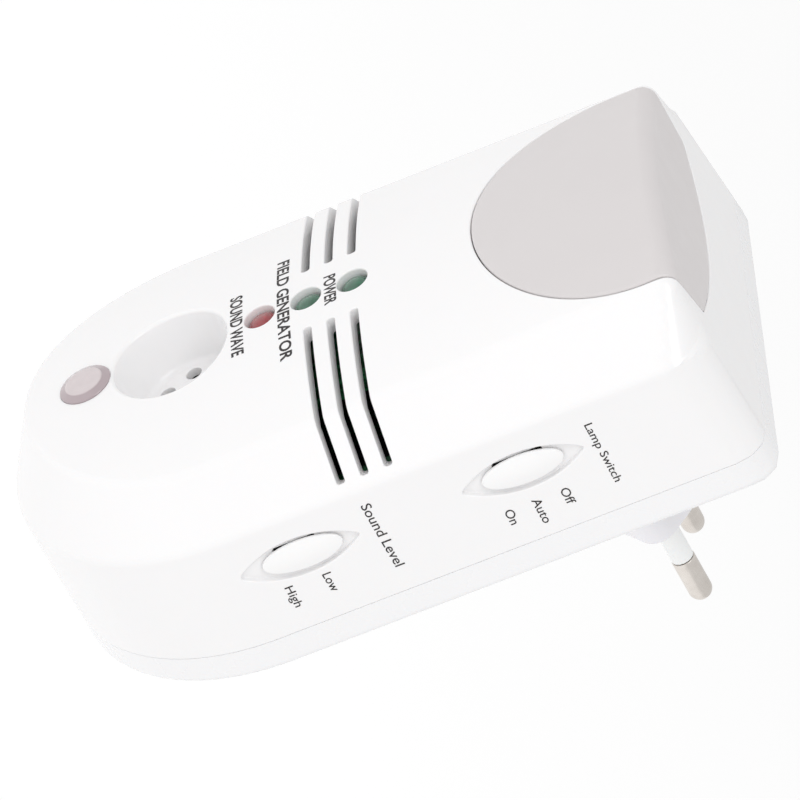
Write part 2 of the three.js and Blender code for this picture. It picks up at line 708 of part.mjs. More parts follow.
/** A radial electrolytic capacitor standing on the main board. */
function capacitor(x, z, radius, height) {
  return turned([
    [0, BOARD_TOP],
    [radius, BOARD_TOP],
    [radius, BOARD_TOP + 1.2],
    [radius - 0.3, BOARD_TOP + 1.7],
    [radius, BOARD_TOP + 2.2],
    [radius, BOARD_TOP + height - 0.4],
    [radius - 0.4, BOARD_TOP + height],
    [0, BOARD_TOP + height],
  ], x, z, 16);
}

/** A moulded chip with legs down both long sides. */
function chip(x, z, halfX, halfZ, legs) {
  const lift = 0.6;
  const height = 3;
  let shape = block([x - halfX, x + halfX], [BOARD_TOP + lift, BOARD_TOP + height], [z - halfZ, z + halfZ]);
  for (let i = 0; i < legs; i += 1) {
    const legZ = z - halfZ + ((i + 0.5) * 2 * halfZ) / legs;
    for (const side of [-1, 1]) {
      const inner = x + side * (halfX - 0.4);
      const outer = x + side * (halfX + 0.8);
      const range = side > 0 ? [inner, outer] : [outer, inner];
      const foot = side > 0 ? [outer - 0.3, outer] : [outer, outer + 0.3];
      shape = union(
        shape,
        block(range, [BOARD_TOP + 1.4, BOARD_TOP + 1.7], [legZ - 0.25, legZ + 0.25]),
        block(foot, [BOARD_TOP, BOARD_TOP + 1.7], [legZ - 0.25, legZ + 0.25]),
      );
    }
  }
  return shape.subtract(bar(0.5, BOARD_TOP + height - 0.3, BOARD_TOP + height + 1, x, z + halfZ - 1, 10));
}

/** A flat header that links the main board to a board above it. */
const boardLink = (x, z, halfX, topDepth) => (
  block([x - halfX, x + halfX], [BOARD_TOP, topDepth - GAP], [z - 1.2, z + 1.2]));

/** A brass strip from one pin's tail up to the main board. */
function contactStrip(side) {
  const x = (side * PIN_PITCH) / 2 + side * 0.6;
  const width = [x - 2, x + 2];
  const start = 6.3 + GAP; // clear of the pin's tail
  const foot = block(width, [start, 7.2], [-3, 3]);
  const riser = block(width, [start, MAIN_BOARD_DEPTH - GAP], [2.4, 3]);
  return foot.add(riser);
}

const HORN_BACK = BODY_DEPTH - HORN_DEPTH - HORN_WALL; // depth of the horn's outer floor
const GASKET_SPACE = 1.2;

function transducer() {
  const front = HORN_BACK - GASKET_SPACE;
  return turned([
    [0, front - 8.6],
    [7.7, front - 8.6],
    [8, front - 8.2],
    [8, front],
    [6.6, front],
    [6.2, front - 0.8],
    [2.2, front - 2],
    [0, front - 2],
  ], 0, HORN_Z, 24);
}

function transducerGasket() {
  const back = HORN_BACK - GASKET_SPACE + GAP;
  const front = HORN_BACK - GAP;
  return turned([[6.8, back], [8.4, back], [8.4, front], [6.8, front], [6.8, back]], 0, HORN_Z, 24);
}

// ---------------------------------------------------------------- colours

const colours = {
  white: { color: 0xf7f7f8, roughness: 0.22, metalness: 0 },
  plug: { color: 0xf1f0f3, roughness: 0.3, metalness: 0 },
  sleeve: { color: 0xf2f3f2, roughness: 0.35, metalness: 0 },
  frosted: { color: 0xd4d4d6, roughness: 0.55, metalness: 0 },
  sensor: { color: 0xd9ccd0, roughness: 0.15, metalness: 0 },
  red: { color: 0x8e2a33, roughness: 0.12, metalness: 0 },
  green: { color: 0x2f6d58, roughness: 0.12, metalness: 0 },
  clear: { color: 0xf3f6fa, roughness: 0.1, metalness: 0 },
  nickel: { color: 0xbfb8b3, roughness: 0.25, metalness: 1 },
  steel: { color: 0xa9abae, roughness: 0.35, metalness: 1 },
  brass: { color: 0xb89a54, roughness: 0.35, metalness: 1 },
  copper: { color: 0xa35a33, roughness: 0.4, metalness: 1 },
  board: { color: 0x1f5a3a, roughness: 0.5, metalness: 0 },
  black: { color: 0x1b1b1d, roughness: 0.45, metalness: 0 },
  yellow: { color: 0xd8b53a, roughness: 0.45, metalness: 0 },
  grey: { color: 0x4a4a4d, roughness: 0.6, metalness: 0 },
  rubber: { color: 0x2a2a2b, roughness: 0.85, metalness: 0 },
};

const part = new THREE.Group();

/** Adds one named piece with a material of its own. */
function add(name, shape, finish) {
  const mesh = new THREE.Mesh(geometryOf(shape), new THREE.MeshStandardMaterial(colours[finish]));
  mesh.name = name;
  part.add(mesh);
}

// ---------------------------------------------------------------- assembly

add('front_housing', frontHousing(), 'white');
add('rear_cover', rearCover(), 'white');
add('night_light_lens', nightLightLens(), 'frosted');
add('sensor_window', sensorWindow(), 'sensor');

const sides = [['left', -1], ['right', 1]];
add('plug_base', plugBase(), 'plug');
for (const [name, side] of sides) {
  add(`plug_pin_${name}`, plugPin(side), 'nickel');
  add(`pin_sleeve_${name}`, pinSleeve(side), 'sleeve');
  add(`contact_strip_${name}`, contactStrip(side), 'brass');
  add(`plug_screw_${name}`, boardScrew(side * PLUG_SCREW_X, 0, 7.3, 1.6), 'steel');
}

POSTS.forEach(({ x, z }, row) => {
  sides.forEach(([, side], column) => {
    const number = 2 * row + column + 1;
    const fastener = screw(side * x, z, 0.5, 1.8, 16, SCREW_HEAD_RADIUS, SCREW_RADIUS);
    add(`housing_screw_${number}`, fastener, 'steel');
  });
});

const ledBase = LED_BOARD_DEPTH + BOARD_THICKNESS + GAP;
const ledNames = [['ion_led', 'green'], ['field_led', 'green'], ['sound_led', 'red']];
ledNames.forEach(([name, finish], i) => add(name, roundLed(0, UPPER_LED_Z - i * LED_PITCH, ledBase), finish));
const ledBoardRange = [LED_BOARD_DEPTH, LED_BOARD_DEPTH + BOARD_THICKNESS];
add('led_board', block([-13, 13], ledBoardRange, [-46.4, -21]), 'board');

const lampBase = LAMP_BOARD_DEPTH + BOARD_THICKNESS + GAP;
add('lamp_board', block([-17, 17], [LAMP_BOARD_DEPTH, LAMP_BOARD_DEPTH + BOARD_THICKNESS], [7, 18]), 'board');
[-11, 0, 11].forEach((x, i) => add(`lamp_led_${i + 1}`, roundLed(x, 12.5, lampBase), 'clear'));

const switches = [['pet', PET_SWITCH_Z, PET_KNOB_OFFSET], ['light', LIGHT_SWITCH_Z, 0]];
for (const [name, z, offset] of switches) {
  add(`${name}_switch_knob`, switchKnob(z, offset), 'white');
  add(`${name}_switch_slider`, switchSlider(z, offset), 'black');
  add(`${name}_switch_body`, switchBody(z), 'grey');
}
add('switch_board', block([26, 27.6], [14, 23], [-54.5, -0.5]), 'board');

add('main_board', mainBoard(), 'board');
BOARD_POSTS.forEach(({ x, z }, i) => add(`board_screw_${i + 1}`, boardScrew(x, z, 12.6, 4.5), 'steel'));
add('transformer_core', transformerCore(), 'grey');
add('transformer_coil', transformerCoil(), 'yellow');
add('field_coil_core', fieldCoilCore(), 'grey');
add('field_coil_bobbin', fieldCoilBobbin(), 'black');
add('field_coil_winding', fieldCoilWinding(), 'copper');
add('ioniser_module', block([-21, -5], [BOARD_TOP, BOARD_TOP + 11], [-42, -24]), 'black');
add('ioniser_needle', turned([[0, 22.5], [0.6, 22.5], [0.6, 31], [0, 34]], -17, -31.1, 12), 'steel');
add('smoothing_capacitor_1', capacitor(12, -6, 5, 11), 'black');
add('smoothing_capacitor_2', capacitor(12, -19, 4, 10), 'black');
add('film_capacitor', block([-8, 8], [BOARD_TOP, BOARD_TOP + 9.5], [7, 13.5]), 'yellow');
add('fuse', crossBar(2.4, -21, -11, BOARD_TOP + 2.5, 10, 16), 'clear');
add('bridge_rectifier', block([9.5, 15], [BOARD_TOP, BOARD_TOP + 5], [4.5, 9.5]), 'black');
add('control_chip', chip(10, -35, 3.2, 7, 5), 'black');
add('driver_chip', chip(-11, -50, 3.2, 4.2, 3), 'black');
add('led_board_link', boardLink(10, -24.8, 2.4, LED_BOARD_DEPTH), 'grey');
add('lamp_board_link', boardLink(14, 14.8, 2, LAMP_BOARD_DEPTH), 'grey');

add('transducer', transducer(), 'steel');
add('transducer_gasket', transducerGasket(), 'rubber');
add('sensor_board', block([-6.5, 6.5], [31.4, 32.4], [-79.5, -69.9]), 'board');
add('photocell', bar(2.5, 32.4 + GAP, 34.9, 0, SENSOR_Z, 20), 'clear');

export default part;
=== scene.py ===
"""The looks of a plug-in ultrasonic pest repeller with a night light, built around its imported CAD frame.

Lengths in this file are millimetres until a mesh is made, which turns them into metres. The frame has
+Z up the wall, -Y out into the room and the plug's pins along +Y. A depth is how far a point stands out
into the room from the flat back of the rear cover.
"""

import json
import math

import bmesh
import bpy
import numpy as np
from mathutils import Matrix, Vector
from mathutils.geometry import delaunay_2d_cdt


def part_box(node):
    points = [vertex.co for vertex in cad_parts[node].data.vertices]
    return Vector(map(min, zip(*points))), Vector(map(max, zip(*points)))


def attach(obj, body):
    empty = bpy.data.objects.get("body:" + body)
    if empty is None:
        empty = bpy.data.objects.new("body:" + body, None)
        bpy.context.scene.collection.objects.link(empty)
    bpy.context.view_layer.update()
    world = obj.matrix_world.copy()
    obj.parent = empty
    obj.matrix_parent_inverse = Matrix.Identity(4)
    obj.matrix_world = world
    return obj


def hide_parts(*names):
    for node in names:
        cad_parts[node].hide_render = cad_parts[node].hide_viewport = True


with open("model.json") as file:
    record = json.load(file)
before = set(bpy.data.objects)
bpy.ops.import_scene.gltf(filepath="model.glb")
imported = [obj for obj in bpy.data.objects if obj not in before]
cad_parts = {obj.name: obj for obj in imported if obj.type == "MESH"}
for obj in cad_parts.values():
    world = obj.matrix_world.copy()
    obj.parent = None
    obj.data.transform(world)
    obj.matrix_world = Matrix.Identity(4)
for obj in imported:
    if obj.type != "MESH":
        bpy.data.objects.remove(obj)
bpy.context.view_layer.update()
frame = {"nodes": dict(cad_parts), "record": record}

MM = 0.001

# ---------------------------------------------------------------- camera, floor and light

CAMERA_PLACE = Vector((812.7, -588.1, 197.4)) * MM
CAMERA_AIM = Vector((8.5, -38.0, -27.7)) * MM
CAMERA_UP = Vector((-0.594, -0.723, 0.354))
CAMERA_LENS = 286.9
CAMERA_SENSOR = 36
CAMERA_CLIP_START = 0.05

# the lamp's and the floor's places and sizes are in metres
WORLD_STRENGTH = 0.78
KEY_PLACE = Vector((1.2, -1.4, 1.3))
KEY_SIZE = 1.1
KEY_POWER = 11.5
LIGHT_AIM = Vector((0, -0.03, -0.03))
FLOOR_REACH = 12
FLOOR_Z = -0.24


def look_at(place, aim, up):
    """A matrix at a place whose -Z axis points at the aim and whose Y axis leans towards up."""
    back = (place - aim).normalized()
    right = up.cross(back).normalized()
    above = back.cross(right)
    turn = Matrix((right, above, back)).transposed().to_4x4()
    return Matrix.Translation(place) @ turn


def make_camera():
    data = bpy.data.cameras.new("camera")
    data.lens = CAMERA_LENS
    data.sensor_width = CAMERA_SENSOR
    data.clip_start = CAMERA_CLIP_START
    camera = bpy.data.objects.new("camera", data)
    camera.matrix_world = look_at(CAMERA_PLACE, CAMERA_AIM, CAMERA_UP)
    bpy.context.scene.collection.objects.link(camera)
    bpy.context.scene.camera = camera


def make_key_light():
    data = bpy.data.lights.new("key", "AREA")
    data.shape = "DISK"
    data.size = KEY_SIZE
    data.energy = KEY_POWER
    lamp = bpy.data.objects.new("key", data)
    lamp.matrix_world = look_at(KEY_PLACE, LIGHT_AIM, Vector((0, 0, 1)))
    bpy.context.scene.collection.objects.link(lamp)


def make_stage():
    """The even white room, its one lamp and the floor, which is returned."""
    bpy.context.scene.view_settings.view_transform = "Standard"
    world = bpy.data.worlds.new("studio")
    world.use_nodes = True
    background = world.node_tree.nodes["Background"]
    background.inputs["Color"].default_value = (1, 1, 1, 1)
    background.inputs["Strength"].default_value = WORLD_STRENGTH
    bpy.context.scene.world = world
    make_key_light()
    mesh = bpy.data.meshes.new("floor")
    corners = [(x * FLOOR_REACH, y * FLOOR_REACH, FLOOR_Z) for x, y in ((-1, -1), (1, -1), (1, 1), (-1, 1))]
    mesh.from_pydata(corners, [], [(0, 1, 2, 3)])
    floor = bpy.data.objects.new("floor", mesh)
    bpy.context.scene.collection.objects.link(floor)
    return floor


# ---------------------------------------------------------------- sizes

# the housing
PLUG_LENGTH = 18.0  # the boss stands this far out of the rear cover
BODY_DEPTH = 38.8
SEAM_DEPTH = 5.4
SEAM_GAP = 0.06
SEAM_EDGE = 0.08
SHOULDER_DEPTH = 26.2
ARC_Z = -56.0
BACK_HALF = 36.5
SHOULDER_HALF = 36.1
FRONT_HALF = 28.2
FRONT_HALF_TOP = 26.6
CROWN_RADIUS = 112.0
BACK_TOP_Z = 26.9
SHOULDER_TOP_Z = 25.0
FRONT_TOP_Z = 24.2
WALL = 2.0
FRONT_EDGE = 0.6  # how far the rounding of each long edge reaches in
SHOULDER_EDGE = 0.5
BACK_CORNER = 4.5
SHOULDER_CORNER = 7.0
RIDGE = 2.4
HOLE_EDGE = 0.3  # the rounding of a plain hole's edge
SMALL_EDGE = 0.25  # the rounding of a slot's or a switch recess's edge

# what the front carries
SENSOR_Z = -73.5
SENSOR_RADIUS = 4.45
SENSOR_DISC_RADIUS = 3.15  # the raised middle of the sensor's window
SENSOR_SINK = 0.06  # the sensor's seat is this far below the front
SENSOR_RISE = 0.9
HORN_Z = -58.8
HORN_RADIUS = 9.9
HORN_FLOOR_RADIUS = 8.3
HORN_DEPTH = 9.0
HORN_EDGE = 0.7
HORN_FOOT = 1.0
HORN_WALL = 1.5
HORN_HOLE_RADIUS = 1.35
HORN_HOLE_CIRCLE = 5.3
HORN_HOLES = 6
BORE_EDGE = 0.15  # the rounding of a sound hole's edge and of the pins' step
LED_ZS = (-27.1, -35.1, -43.1)
LED_HOLE_RADIUS = 2.65
LED_RADIUS = 2.5
LED_RISE = 1.3
LED_FLANGE_RADIUS = 2.75
LED_TIP_DEPTH = BODY_DEPTH - 0.5
LED_BASE_DEPTH = 28.9
SLOT_ZS = (-27.1, -31.1, -35.1)
SLOT_WIDTH = 1.4
SLOT_START = 7.5
SLOT_END = 34.7
SLOT_END_DEPTH = 27.4
SLOT_COLLAR = 0.8  # wall of the collar behind each slot
SLOT_COLLAR_DEPTH = 2.7
WINDOW_HALF = 26.2
WINDOW_ARC_Z = 19.4
WINDOW_BACK_HALF = 23.2
WINDOW_CORNER_DEPTH = 24.6
WINDOW_BACK_DEPTH = 19.8
WINDOW_GAP = 0.16
LENS_EDGE = 0.35
LENS_THICKNESS = 1.6
INK_PROUD = 0.03
FRONT_PRINT_WEIGHT = 0.02
SIDE_PRINT_WEIGHT = 0.004

# the slide switches on the right side wall
SWITCH_DEPTH = 18.5
PET_SWITCH_Z = -46.4
LIGHT_SWITCH_Z = -8.7
RECESS_HALF_LENGTH = 10.4
RECESS_HALF_WIDTH = 3.5
RECESS_FLOOR_X = 35.3
SWITCH_SLOT_HALF_WIDTH = 2.6
PET_SLOT_HALF_LENGTH = 3.6
LIGHT_SLOT_HALF_LENGTH = 4.2
KNOB_LIFT = 0.3
KNOB_CROWN = 0.45
STEM_HALF_DEPTH = 1.7
STEM_HALF_LENGTH = 1.9

# the back
COVER_FLOOR = 2.2
BACK_EDGE = 1.2
SCREW_PLACES = [(side * x, z) for x, z in ((29.0, 14.0), (28.5, -62.0)) for side in (-1, 1)]
SCREW_HEAD_RADIUS = 2.8
SCREW_SEAT_DEPTH = 2.6
SCREW_BORE_RADIUS = 1.75
SCREW_SHANK_RADIUS = 1.45
POST_RADIUS = 4.3
POST_DEPTH = 5.2
PLUG_HALF_WIDTH = 17.15
PLUG_HALF_HEIGHT = 6.5
PLUG_GROWTH = 0.45  # how much wider the boss is at its root
PLUG_EDGE = 0.5
PLUG_ROOT_DEPTH = 3.8
MOUTH_RADIUS = 2.15  # the hole in the boss that each sleeve stands in
MOUTH_DEPTH = 2.3
MOUTH_EDGE = 0.2
PIN_RADIUS = 2.0
PIN_CORE_RADIUS = 1.3
PIN_BORE_RADIUS = 1.6
PIN_TAIL_DEPTH = 6.3
PIN_PITCH = 18.6
PIN_TIP_PITCH = 17.5
PIN_LENGTH = 18.99
PIN_LEAN = math.atan((PIN_PITCH - PIN_TIP_PITCH) / 2 / PIN_LENGTH)
SLEEVE_LENGTH = 10.0
SLEEVE_RADIUS = 1.9
SLEEVE_BORE_RADIUS = 1.4

# how finely the housing is drawn
GRID_COUNTS = (64, 40, 14, 20)  # steps on the low arc, a side, a corner and the top
GRID_ROWS = 54
CORE_STEP = 1.9
FILLET_STEPS = 5
TURN_WEIGHT = 14.0  # how strongly a bend draws the grid's rows together
HALO = 0.9  # a ring of points this far off each hole keeps its surroundings even

# ---------------------------------------------------------------- the housing's form
#
# The form is where form_gap() is 0: below 0 inside, above 0 outside, close to a distance in millimetres.


def rounded_both(a, b, radius):
    """The gap to two forms' common part, its edge rounded."""
    sharp = np.minimum(np.maximum(a, b), -radius)
    return sharp + np.hypot(np.maximum(a + radius, 0), np.maximum(b + radius, 0))


def crown_depth(x):
    return BODY_DEPTH - CROWN_RADIUS + np.sqrt(CROWN_RADIUS**2 - x**2)


def form_gap(x, z, depth):
    """How far a point lies outside the housing's form."""
    from_axis = np.hypot(x, np.minimum(z - ARC_Z, 0))
    crown = np.hypot(x, depth - BODY_DEPTH + CROWN_RADIUS) - CROWN_RADIUS
    side = from_axis - BACK_HALF + (BACK_HALF - SHOULDER_HALF) * depth / SHOULDER_DEPTH
    rise = np.clip((z - ARC_Z) / (FRONT_TOP_Z - ARC_Z), 0, 1)
    front_half = FRONT_HALF + (FRONT_HALF_TOP - FRONT_HALF) * rise
    front_depth = crown_depth(front_half * np.abs(x) / np.maximum(from_axis, 1e-9))
    run = SHOULDER_HALF - front_half
    climb = front_depth - SHOULDER_DEPTH
    band = ((from_axis - SHOULDER_HALF) * climb + (depth - SHOULDER_DEPTH) * run) / np.hypot(run, climb)
    slope = (BACK_TOP_Z - SHOULDER_TOP_Z) / SHOULDER_DEPTH
    end = (z - BACK_TOP_Z + slope * depth) / math.hypot(1, slope)
    corner = np.interp(depth, (0, SHOULDER_DEPTH, BODY_DEPTH - 5), (BACK_CORNER, SHOULDER_CORNER, RIDGE))
    around = rounded_both(rounded_both(crown, band, FRONT_EDGE), side, SHOULDER_EDGE)
    return rounded_both(around, end, corner)


def form_normal(points):
    """Unit normals of the form at points in the frame, in millimetres."""
    x, z, depth = points[:, 0], points[:, 2], -points[:, 1] - PLUG_LENGTH
    step = 1e-3
    gradient = np.stack((
        form_gap(x + step, z, depth) - form_gap(x - step, z, depth),
        form_gap(x, z, depth - step) - form_gap(x, z, depth + step),
        form_gap(x, z + step, depth) - form_gap(x, z - step, depth),
    ), axis=1)
    return unit(gradient)


def unit(vectors):
    return vectors / np.maximum(np.linalg.norm(vectors, axis=-1, keepdims=True), 1e-12)


# The form is unrolled onto a flat sheet, so that holes can be drawn on it. The sheet's middle is the
# front face seen from the front. Past a core outline and a margin round it, the sheet goes over the
# front edge by rays that fan out from a line inside, and then straight back along the side walls.

CORE_HALF = 20.0
CORE_TOP = 12.0
CORE_CORNER = 3.0
MARGIN = 6.0
FAN_DEPTH = 23.5
FAN_SPAN = 18.5
QUARTER = math.pi / 2


def off_core(x, z):
    """Distance from the core outline, and the direction straight out of it."""
    ax = np.abs(x)
    middle = CORE_HALF - CORE_CORNER
    corner_x = np.maximum(ax - middle, 0)
    corner_z = np.maximum(z - CORE_TOP + CORE_CORNER, 0)
    low = z < ARC_Z
    at_side = corner_z == 0
    dx = np.where(low, ax, np.where(at_side, 1, corner_x))
    dz = np.where(low, z - ARC_Z, np.where(at_side, 0, corner_z))
    length = np.maximum(np.hypot(dx, dz), 1e-9)
    distance = np.where(low, length - CORE_HALF, np.where(at_side, ax - CORE_HALF, length - CORE_CORNER))
    return distance, np.where(x < 0, -1, 1) * dx / length, dz / length


def on_form(sheet, level=0.0):
    """Points in the frame for points on the sheet, on the form or a level below it."""
    x, z = sheet[:, 0], sheet[:, 1]
    distance, out_x, out_z = off_core(x, z)
    turn = np.clip((distance - MARGIN) / FAN_SPAN, 0, 1) * QUARTER
    drop = np.maximum(distance - MARGIN - FAN_SPAN, 0)
    start = np.minimum(distance, MARGIN) - distance
    near = np.zeros(len(sheet))
    far = np.full(len(sheet), 60.0)
    for _ in range(44):
        reach = (near + far) / 2
        shift = start + reach * np.sin(turn)
        at = (x + out_x * shift, z + out_z * shift, FAN_DEPTH - drop + reach * np.cos(turn))
        outside = form_gap(*at) > level
        far = np.where(outside, reach, far)
        near = np.where(outside, near, reach)
    return np.stack((at[0], -at[2] - PLUG_LENGTH, at[1]), axis=1)


def on_sheet(x, z, depth):
    """Where points of the form, or near it, lie on the sheet."""
    x, z, depth = np.broadcast_arrays(*map(np.atleast_1d, (x, z, depth)))
    distance, out_x, out_z = off_core(x, z)
    past = np.maximum(distance - MARGIN, 0)
    turn = np.arctan2(past, np.maximum(depth - FAN_DEPTH, 0))
    drop = np.maximum(FAN_DEPTH - depth, 0)
    whole = np.where(past > 0, MARGIN + FAN_SPAN * turn / QUARTER + drop, distance)
    return np.stack((x + out_x * (whole - distance), z + out_z * (whole - distance)), axis=1)


def core_loop():
    """Points round the core outline and the directions out of it."""
    arc, side, corner, top = GRID_COUNTS
    middle = CORE_HALF - CORE_CORNER
    low_corner = CORE_TOP - CORE_CORNER
    rows = []

    def turn_about(x, z, radius, start, sweep, steps):
        for i in range(steps):
            angle = start - sweep * i / steps
            out = math.cos(angle), math.sin(angle)
            rows.append((x + radius * out[0], z + radius * out[1], *out))

    turn_about(0, ARC_Z, CORE_HALF, 0, math.pi, arc)
    for i in range(side):
        rows.append((-CORE_HALF, ARC_Z + (low_corner - ARC_Z) * i / side, -1, 0))
    turn_about(-middle, low_corner, CORE_CORNER, math.pi, QUARTER, corner)
    for i in range(top):
        rows.append((-middle + 2 * middle * i / top, CORE_TOP, 0, 1))
    turn_about(middle, low_corner, CORE_CORNER, QUARTER, QUARTER, corner)
    for i in range(side):
        rows.append((CORE_HALF, low_corner + (ARC_Z - low_corner) * i / side, 1, 0))
    return np.array(rows)


def ring_at(depth, level=0.0):
    """A loop of points round the side walls at one depth behind the fan."""
    loop = core_loop()
    return on_form(loop[:, :2] + loop[:, 2:] * (MARGIN + FAN_SPAN + FAN_DEPTH - depth), level)


def sheet_grid(end_depth):
    """Loops of sheet points from the core outline to a depth on the side walls, closer together where
    the form turns. The result has one loop of points for each row."""
    loop = core_loop()
    fine = 160
    reach = MARGIN + FAN_SPAN + FAN_DEPTH - end_depth
    spans = np.linspace(0, reach, fine)
    sheet = loop[None, :, :2] + loop[None, :, 2:] * spans[:, None, None]
    points = on_form(sheet.reshape(-1, 2))
    normals = form_normal(points).reshape(fine, len(loop), 3)
    points = points.reshape(fine, len(loop), 3)
    run = np.linalg.norm(np.diff(points, axis=0), axis=2)
    turning = np.linalg.norm(np.diff(normals, axis=0), axis=2)
    measure = np.vstack((np.zeros(len(loop)), np.cumsum(run + TURN_WEIGHT * turning, axis=0)))
    result = np.zeros((GRID_ROWS, len(loop), 2))
    for i in range(len(loop)):
        wanted = np.linspace(0, measure[-1, i], GRID_ROWS)
        span = np.interp(wanted, measure[:, i], spans)
        result[:, i] = loop[i, :2] + loop[i, 2:] * span[:, None]
    return result


def core_points(low_z):
    """An even grid of sheet points inside the core outline, from one height up."""
    grid = np.meshgrid(np.arange(-18.6, 19, CORE_STEP), np.arange(low_z, 11.5, CORE_STEP))
    points = np.stack(grid, axis=-1).reshape(-1, 2)
    return points[off_core(points[:, 0], points[:, 1])[0] < -1.2]


# ---------------------------------------------------------------- outlines


def full_turn(count):
    return np.arange(count) * 2 * math.pi / count


def eased(size, count):
    """Points of a quarter circle between two sides of a square: the gap to one side, then to the other."""
    turns = np.linspace(0, QUARTER, count)
    return [(size * (1 - math.sin(turn)), size * (1 - math.cos(turn))) for turn in turns]


def circle(cx, cy, radius, count):
    angles = full_turn(count)
    return np.stack((cx + radius * np.cos(angles), cy + radius * np.sin(angles)), axis=1)


def resampled(points, spacing):
    """A closed outline through the same points at an even spacing."""
    closed = np.vstack((points, points[:1]))
    along = np.concatenate(([0], np.cumsum(np.linalg.norm(np.diff(closed, axis=0), axis=1))))
    count = max(12, int(round(along[-1] / spacing)))
    wanted = np.arange(count) * along[-1] / count
    return np.stack([np.interp(wanted, along, closed[:, k]) for k in range(points.shape[1])], axis=1)


def rounded(corners, radii, steps=6):
    """A closed outline through corners, each rounded by its own radius."""
    corners = np.asarray(corners, float)
    result = []
    for i, corner in enumerate(corners):
        before = unit(corners[i - 1] - corner)
        after = unit(corners[(i + 1) % len(corners)] - corner)
        half = math.acos(float(np.clip(before @ after, -1, 1))) / 2
        radius = radii[i]
        if radius == 0 or half > QUARTER - 1e-3:
            result.append(corner)
            continue
        centre = corner + unit(before + after) * radius / math.sin(half)
        start = corner + before * radius / math.tan(half) - centre
        stop = corner + after * radius / math.tan(half) - centre
        sweep = math.pi - 2 * half
        for share in np.arange(steps + 1) / steps:
            across = math.sin((1 - share) * sweep) * start + math.sin(share * sweep) * stop
            result.append(centre + across / math.sin(sweep))
    return np.array(result)


def smoothed(outline, rounds):
    for _ in range(rounds):
        outline = (np.roll(outline, 1, axis=0) + 2 * outline + np.roll(outline, -1, axis=0)) / 4
    return outline


def signed_area(outline):
    after = np.roll(outline, -1, axis=0)
    return float(np.sum(outline[:, 0] * after[:, 1] - after[:, 0] * outline[:, 1])) / 2


def offset(outline, distance):
    """A closed outline moved outwards, or inwards by a distance below 0."""
    tangent = unit(np.roll(outline, -1, axis=0) - np.roll(outline, 1, axis=0))
    outwards = np.stack((tangent[:, 1], -tangent[:, 0]), axis=1)
    return outline + outwards * distance * math.copysign(1, signed_area(outline))


def inside(points, outline):
    """Which points lie inside a closed outline."""
    after = np.roll(outline, -1, axis=0)
    result = np.zeros(len(points), bool)
    for (x0, y0), (x1, y1) in zip(outline, after):
        if y0 == y1:
            continue
        crosses = (y0 > points[:, 1]) != (y1 > points[:, 1])
        result ^= crosses & (points[:, 0] < x0 + (points[:, 1] - y0) * (x1 - x0) / (y1 - y0))
    return result


def clear_of(points, outline, distance):
    """Which points are further than a distance from an outline's own points."""
    result = np.ones(len(points), bool)
    for start in range(0, len(points), 2000):
        part = points[start:start + 2000]
        gaps = np.linalg.norm(part[:, None] - outline[None], axis=2).min(axis=1)
        result[start:start + 2000] = gaps > distance
    return result


def filled(outer, holes, free, clearance=0.45):
    """Triangles inside a closed outline and outside the holes, with free points in between."""
    loops = [outer, *holes]
    keep = inside(free, outer)
    for hole in holes:
        keep &= ~inside(free, hole)
    for loop in loops:
        keep &= clear_of(free, loop, clearance)
    free = free[keep]
    for hole in holes:
        ring = offset(hole, HALO)
        ring = ring[inside(ring, outer)]
        for loop in loops:
            ring = ring[clear_of(ring, loop, 0.5)]
        for other in holes:
            ring = ring[~inside(ring, other)]
        if len(ring):
            free = free[clear_of(free, ring, 0.6)]
            free = np.vstack((free, ring))
    points = np.vstack((*loops, free))
    edges = []
    start = 0
    for loop in loops:
        edges += [(start + i, start + (i + 1) % len(loop)) for i in range(len(loop))]
        start += len(loop)
    found = delaunay_2d_cdt([Vector(p) for p in points], edges, [], 0, 1e-7)
    flat = np.array([tuple(v) for v in found[0]])
    for i, sources in enumerate(found[3]):
        if sources:
            flat[i] = points[sources[0]]
    triangles = np.array(found[2])
    middles = flat[triangles].mean(axis=1)
    wanted = inside(middles, outer)
    for hole in holes:
        wanted &= ~inside(middles, hole)
    return flat, triangles[wanted]


# ---------------------------------------------------------------- skins


